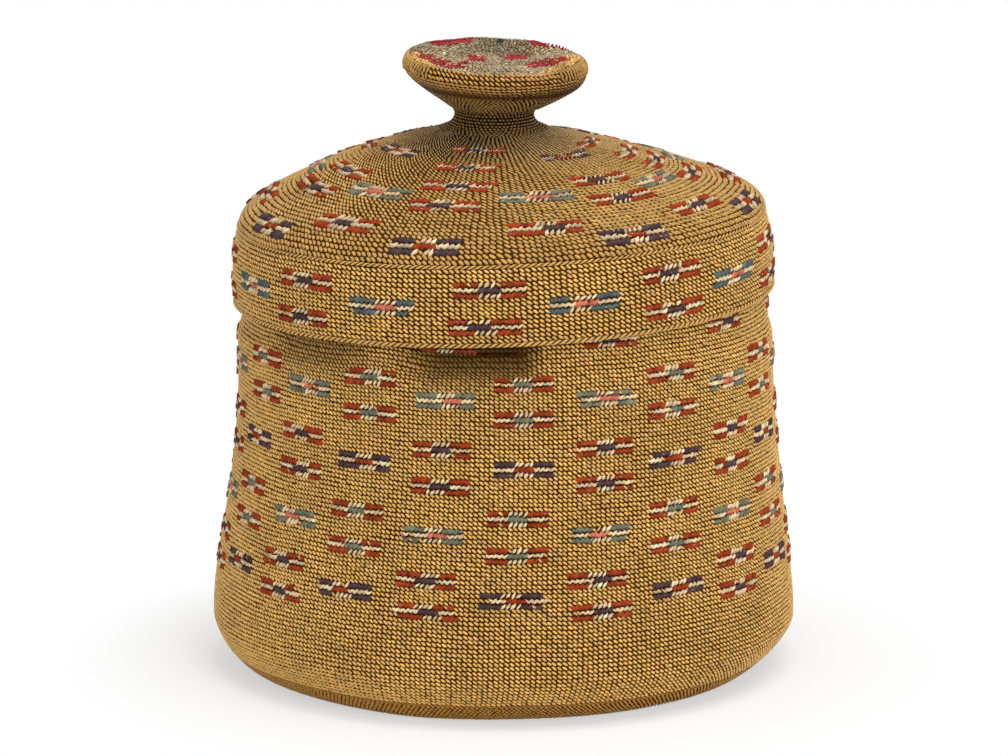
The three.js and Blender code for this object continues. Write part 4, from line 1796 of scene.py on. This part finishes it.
class GRASS_OT_twine_cap(bpy.types.Operator):
    """Twines the underside and the coarse rim of the knob's cap"""

    bl_idname = "grass.twine_cap"
    bl_label = "Twine cap"

    WIDEST_PITCH = 0.00140
    INNER_PITCH = 0.00112
    PITCH_GAIN = 0.00028
    # Rows of the dark foot and of the rim as shares of the cap's row
    FOOT_ROW = 1.05
    RIM_ROW = 1.25
    # Rise of the end of the dark foot above the cap's foot
    DARK_RISE = 0.0056
    # Angle from the front beyond which the crown is dusty
    BACK = 97.4
    # Angles from the front between which long strands wrap the rim
    WRAPPED = (44, 84)

    def execute(self, context):
        scene = context.scene
        knob, sizes = scene.grass_knob, scene.grass_weave
        cap = cap_surface(scene)
        rim_foot = cap.at_height(knob.rise - knob.rim * 0.5)
        dark_end = cap.at_height(knob.bowl_foot_rise + self.DARK_RISE)
        depths = (-sizes.ground, KNOB_ROOM - knob.thickness)
        beside, on = (LID, "neck_grass", ()), (LID, "knob_grass", ("knob_bowl",))
        ground_piece("cap_foot_ground", cap, (0.0, dark_end), depths, neck_ground(), beside, 14, 96)
        ground_piece("cap_ground", cap, (dark_end, cap.total), depths, weave_ground(), on, 24, 120)

        def pitch_at(length):
            if length < dark_end:
                return sizes.cap_row * self.FOOT_ROW
            return sizes.cap_row * (1.0 if length < rim_foot else self.RIM_ROW)

        lengths = spaced(0.0, cap.total, pitch_at)[::-1]
        radii = np.minimum(cap.radius(lengths), knob.radius)
        outward = smooth((radii - knob.bowl_foot_radius) / (knob.radius - knob.bowl_foot_radius))
        widest = round(FULL_TURN * knob.radius / self.WIDEST_PITCH)
        counts = narrowing(widest, radii, self.INNER_PITCH + self.PITCH_GAIN * outward)
        turns = closing_turns(counts)
        # Every second row of the dark foot stands half a stitch aside
        for row in np.flatnonzero(lengths < dark_end)[::2]:
            turns[row] = turns[row] + math.pi / counts[row]
        weave = Weave(cap, lengths, turns, 111, 0.0001)
        side = np.abs(from_front(weave.turn))
        tints = straw_tints(weave, self.base_colours(scene, weave, dark_end, side), 112)
        at_foot, on_rim = weave.length < dark_end, weave.length > rim_foot
        wrapped = on_rim & (side > self.WRAPPED[0]) & (side < self.WRAPPED[1])
        beads = grain_style(reach=0.62, breadth=0.62, slant=-0.5, height=0.00036)
        fine = grain_style(reach=1.08, breadth=0.62, slant=-0.6)
        coarse = grain_style(reach=1.05, breadth=0.5, slant=-0.95, height=0.0006)
        lays = [
            laid(weave, at_foot, beads, tints, 112),
            laid(weave, ~on_rim & ~at_foot, fine, tints, 113),
            laid(weave, on_rim & ~wrapped, coarse, tints, 114),
        ]
        stitched_piece("cap_grass", lays, grain(), grass(), on, 115)
        long = grain_style(slant=-2.0, reach=1.15, breadth=0.34, height=0.0006, stray=0.26)
        on_cord = (LID, "knob_grass", ("knob_rim_cord",))
        lays = [laid(weave, wrapped, long, tints, 116)]
        stitched_piece("rim_strands", lays, grain(), grass(), on_cord, 117)
        return {"FINISHED"}

    def base_colours(self, scene, weave, dark_end, side):
        """Dark at the foot and under the cap as painted shade, golden towards the rim, dusty or
        crimson where the back's crown shows, darker to the sides as painted shade.
        """
        knob, colours, cap = scene.grass_knob, scene.grass_colours, weave.surface
        # Painted shade under the cap, growing towards its foot
        under = falling(weave.length, cap.at_height(knob.rise - 0.001), 0.005)
        base = between(colours.cap_straw, colours.painted_shade_bowl_straw, under)
        # Painted shade at the dark foot, next to the neck
        low = falling(weave.length, dark_end + 0.001, 0.002)
        base = between(base, np.asarray(colours.painted_shade_neck_straw) * 1.3, low)
        crown = (weave.length > cap.at_height(knob.rise + knob.rim * 0.4)) & (side > self.BACK)
        base[crown] = colours.top_straw
        base[crown & on_patch(cap.radius(weave.length), weave.turn, weave.rng)] = colours.crimson
        # Painted shade: 20 parts in 100 darker away from the front
        return base * (1 - 0.2 * rising(side, 36, 12))[:, None]


class GRASS_OT_twine_top(bpy.types.Operator):
    """Twines the slack, dusty top of the knob with its crimson patches"""

    bl_idname = "grass.twine_top"
    bl_label = "Twine top"

    ROW = 0.00095
    PITCH = 0.00105
    GROUND = 0.0004
    ROOM = 0.0002
    # The crack at the back of the rim, painted dark as its shade: its place to the right, half its
    # width and how dark
    CRACK = (0.0016, 0.0011, 0.1)
    CRACK_RADIUS = 0.0205

    def execute(self, context):
        scene = context.scene
        knob, colours = scene.grass_knob, scene.grass_colours
        top = top_surface(scene)
        dull = ground_material("top_ground", linear(112, 88, 50), linear(150, 126, 84))
        depths = (-self.GROUND, self.ROOM - knob.thickness)
        over = (LID, "dusty_grass", ("knob_top", "knob_rim_cord"))
        ground_piece("top_ground", top, (0.0, top.total), depths, dull, over, 30, 96, "end")
        lengths = row_middles(0.0, top.total, self.ROW, 0.4)
        counts = fitting(top, lengths, self.PITCH, 8)
        weave = Weave(top, lengths, closing_turns(counts), 121, 0.0001, 0.14)
        radius = top.radius(weave.length)
        weave.yarn[on_patch(radius, weave.turn, weave.rng)] = CRIMSON
        side = np.abs(from_front(weave.turn))
        # Golden at the two ends of the rim
        ends = rising(side, 40, 14) * falling(side, 106, 14)
        ends = rising(radius, 0.016, 0.004) * ends
        base = between(colours.top_straw, colours.cap_straw, ends)
        tints = straw_tints(weave, base, 122, 0.4, 0.26)
        place, half, dark = self.CRACK
        # Painted shade of the crack at the back of the rim
        cracked = np.abs(radius * np.sin(weave.turn) - place) < half
        tints[(side > 90) & (radius > self.CRACK_RADIUS) & cracked] *= dark
        on = (LID, "dusty_grass", ("knob_top",))
        loose = {"height": 0.0003, "depth": -0.0003, "reach": 1.0, "breadth": 0.8, "stray": 0.55}
        fine = grain_style(uneven=0.15, **loose)
        lays = [laid(weave, weave.yarn == 0, fine, tints, 123)]
        stitched_piece("top_grass", lays, grain(), grass(), on, 124)
        fuzzy = {"height": 0.0005, "depth": -0.00035, "reach": 0.9, "breadth": 0.8, "slant": 0.5}
        soft = ply_style(1, beside=0.0, **fuzzy)
        lays = [laid(weave, weave.yarn == CRIMSON, soft, wool_tints(weave, 128), 129)]
        stitched_piece("top_patches", lays, wool_lump(), wool(), on, 130)
        return {"FINISHED"}


class GRASS_OT_set_stage(bpy.types.Operator):
    """Sets the pale floor, the soft light and the camera"""

    bl_idname = "grass.set_stage"
    bl_label = "Set stage"

    CAMERA_PLACE = (0.00014, -1.2497, 0.3339)
    CAMERA_DOWN = 0.199
    CAMERA_LENS = 158.36
    FLOOR_RINGS = (0.25, 0.6, 1.2, 3.0, 9.0)
    FLOOR_SIDES = 96
    # Radius where the shadow begins to fade, and how far it takes to do so
    SHADOW = 0.084
    FADE = 0.045
    # Share of plain white in the shadow
    WHITENESS = 0.55
    LAMPS_AIM = Vector((0.0, 0.0, 0.08))

    def execute(self, context):
        scene = context.scene
        self.set_camera(scene)
        self.set_floor()
        self.set_world(scene)
        self.add_lamp("overhead", (0.3, -0.35, 1.5), 1.2, 12.5)
        self.add_lamp("front", (0.8, -1.7, 0.9), 1.0, 10.0)
        self.add_lamp("left", (-1.5, -0.6, 0.8), 0.9, 2.5)
        scene.view_settings.view_transform = "Standard"
        return {"FINISHED"}

    def set_camera(self, scene):
        data = bpy.data.cameras.new("photo_camera")
        data.sensor_width = 36.0
        data.lens = self.CAMERA_LENS
        data.clip_start = 0.05
        data.clip_end = 50.0
        camera = linked("photo_camera", data)
        camera.location = self.CAMERA_PLACE
        camera.rotation_euler = (math.pi / 2 - self.CAMERA_DOWN, 0.0, 0.0)
        scene.camera = camera

    def set_floor(self):
        vertices = [(0.0, 0.0, 0.0)]
        for ring in self.FLOOR_RINGS:
            turns = even_turns(self.FLOOR_SIDES)
            vertices += [(ring * math.sin(turn), ring * math.cos(turn), 0.0) for turn in turns]
        steps = [(j, (j + 1) % self.FLOOR_SIDES) for j in range(self.FLOOR_SIDES)]
        faces = [(0, 1 + after, 1 + j) for j, after in steps]
        for i in range(len(self.FLOOR_RINGS) - 1):
            low, high = 1 + i * self.FLOOR_SIDES, 1 + (i + 1) * self.FLOOR_SIDES
            faces += [(low + j, low + after, high + after, high + j) for j, after in steps]
        mesh = bpy.data.meshes.new("floor")
        mesh.from_pydata(vertices, [], faces)
        mesh.materials.append(self.floor_material())
        linked("floor", mesh)

    def floor_material(self):
        """White floor that keeps the shadow near the basket and turns plain white further out."""
        material, tree = new_material("floor")
        x, y = tree.parts(tree.object_place())
        squared = x * x + y * y
        distance = squared.math("SQRT", squared)
        far = ((distance - self.SHADOW) / self.FADE).clamped() * (1 - self.WHITENESS) + self.WHITENESS
        matt = tree.add("ShaderNodeBsdfDiffuse", {}, {"Color": (0.955, 0.95, 0.95, 1.0)})
        white = tree.add("ShaderNodeEmission", {}, {"Color": (1.0, 1.0, 1.0, 1.0), "Strength": 1.0})
        inputs = {0: far * tree.seen(), 1: matt.out(0), 2: white.out(0)}
        mixed = tree.add("ShaderNodeMixShader", {}, inputs)
        tree.add("ShaderNodeOutputMaterial", {}, {"Surface": mixed.out(0)})
        return material

    @staticmethod
    def set_world(scene):
        world = bpy.data.worlds.new("studio")
        scene.world = world
        world.use_nodes = True
        world.node_tree.nodes.clear()
        tree = Tree(world.node_tree.nodes)
        inputs = {"Color": (0.95, 0.97, 1.0, 1.0), "Strength": 0.45}
        soft = tree.add("ShaderNodeBackground", {}, inputs)
        white = tree.add("ShaderNodeBackground", {}, {"Color": (1.0, 1.0, 1.0, 1.0), "Strength": 1.0})
        mixed = tree.add("ShaderNodeMixShader", {}, {0: tree.seen(), 1: soft.out(0), 2: white.out(0)})
        tree.add("ShaderNodeOutputWorld", {}, {"Surface": mixed.out(0)})

    def add_lamp(self, name, place, width, power):
        data = bpy.data.lights.new(name, "AREA")
        data.shape = "DISK"
        data.size = width
        data.energy = power
        lamp = linked(name, data)
        lamp.location = place
        aim = self.LAMPS_AIM - lamp.location
        lamp.rotation_euler = aim.to_track_quat("-Z", "Y").to_euler()


class GRASS_PT_panel(bpy.types.Panel):
    """Lists the steps that make the basket"""

    bl_idname = "GRASS_PT_panel"
    bl_label = "Lidded grass basket"
    bl_space_type = "VIEW_3D"
    bl_region_type = "UI"
    bl_category = "Basket"

    def draw(self, context):
        for step in OPERATORS:
            self.layout.operator(step.bl_idname)
        for name in GROUPS:
            box = self.layout.box()
            settings = getattr(context.scene, name)
            for label in settings.bl_rna.properties.keys():
                if label not in {"rna_type", "name"}:
                    box.prop(settings, label)


OPERATORS = (
    GRASS_OT_twine_base,
    GRASS_OT_twine_wall,
    GRASS_OT_twist_cords,
    GRASS_OT_twine_skirt,
    GRASS_OT_twine_dome,
    GRASS_OT_twine_neck,
    GRASS_OT_twine_cap,
    GRASS_OT_twine_top,
    GRASS_OT_set_stage,
)


def register():
    for kind in (*GROUPS.values(), *OPERATORS, GRASS_PT_panel):
        bpy.utils.register_class(kind)
    for name, kind in GROUPS.items():
        setattr(bpy.types.Scene, name, PointerProperty(type=kind))


def unregister():
    for name in GROUPS:
        delattr(bpy.types.Scene, name)
    for kind in (GRASS_PT_panel, *reversed(OPERATORS), *reversed(GROUPS.values())):
        bpy.utils.unregister_class(kind)


def main():
    register()
    bpy.ops.grass.twine_base()
    bpy.ops.grass.twine_wall()
    bpy.ops.grass.twist_cords()
    bpy.ops.grass.twine_skirt()
    bpy.ops.grass.twine_dome()
    bpy.ops.grass.twine_neck()
    bpy.ops.grass.twine_cap()
    bpy.ops.grass.twine_top()
    bpy.ops.grass.set_stage()
    for shape in (grain, plain_grain, wool_lump):
        bpy.data.objects.remove(shape())


if __name__ == "__main__":
    main()
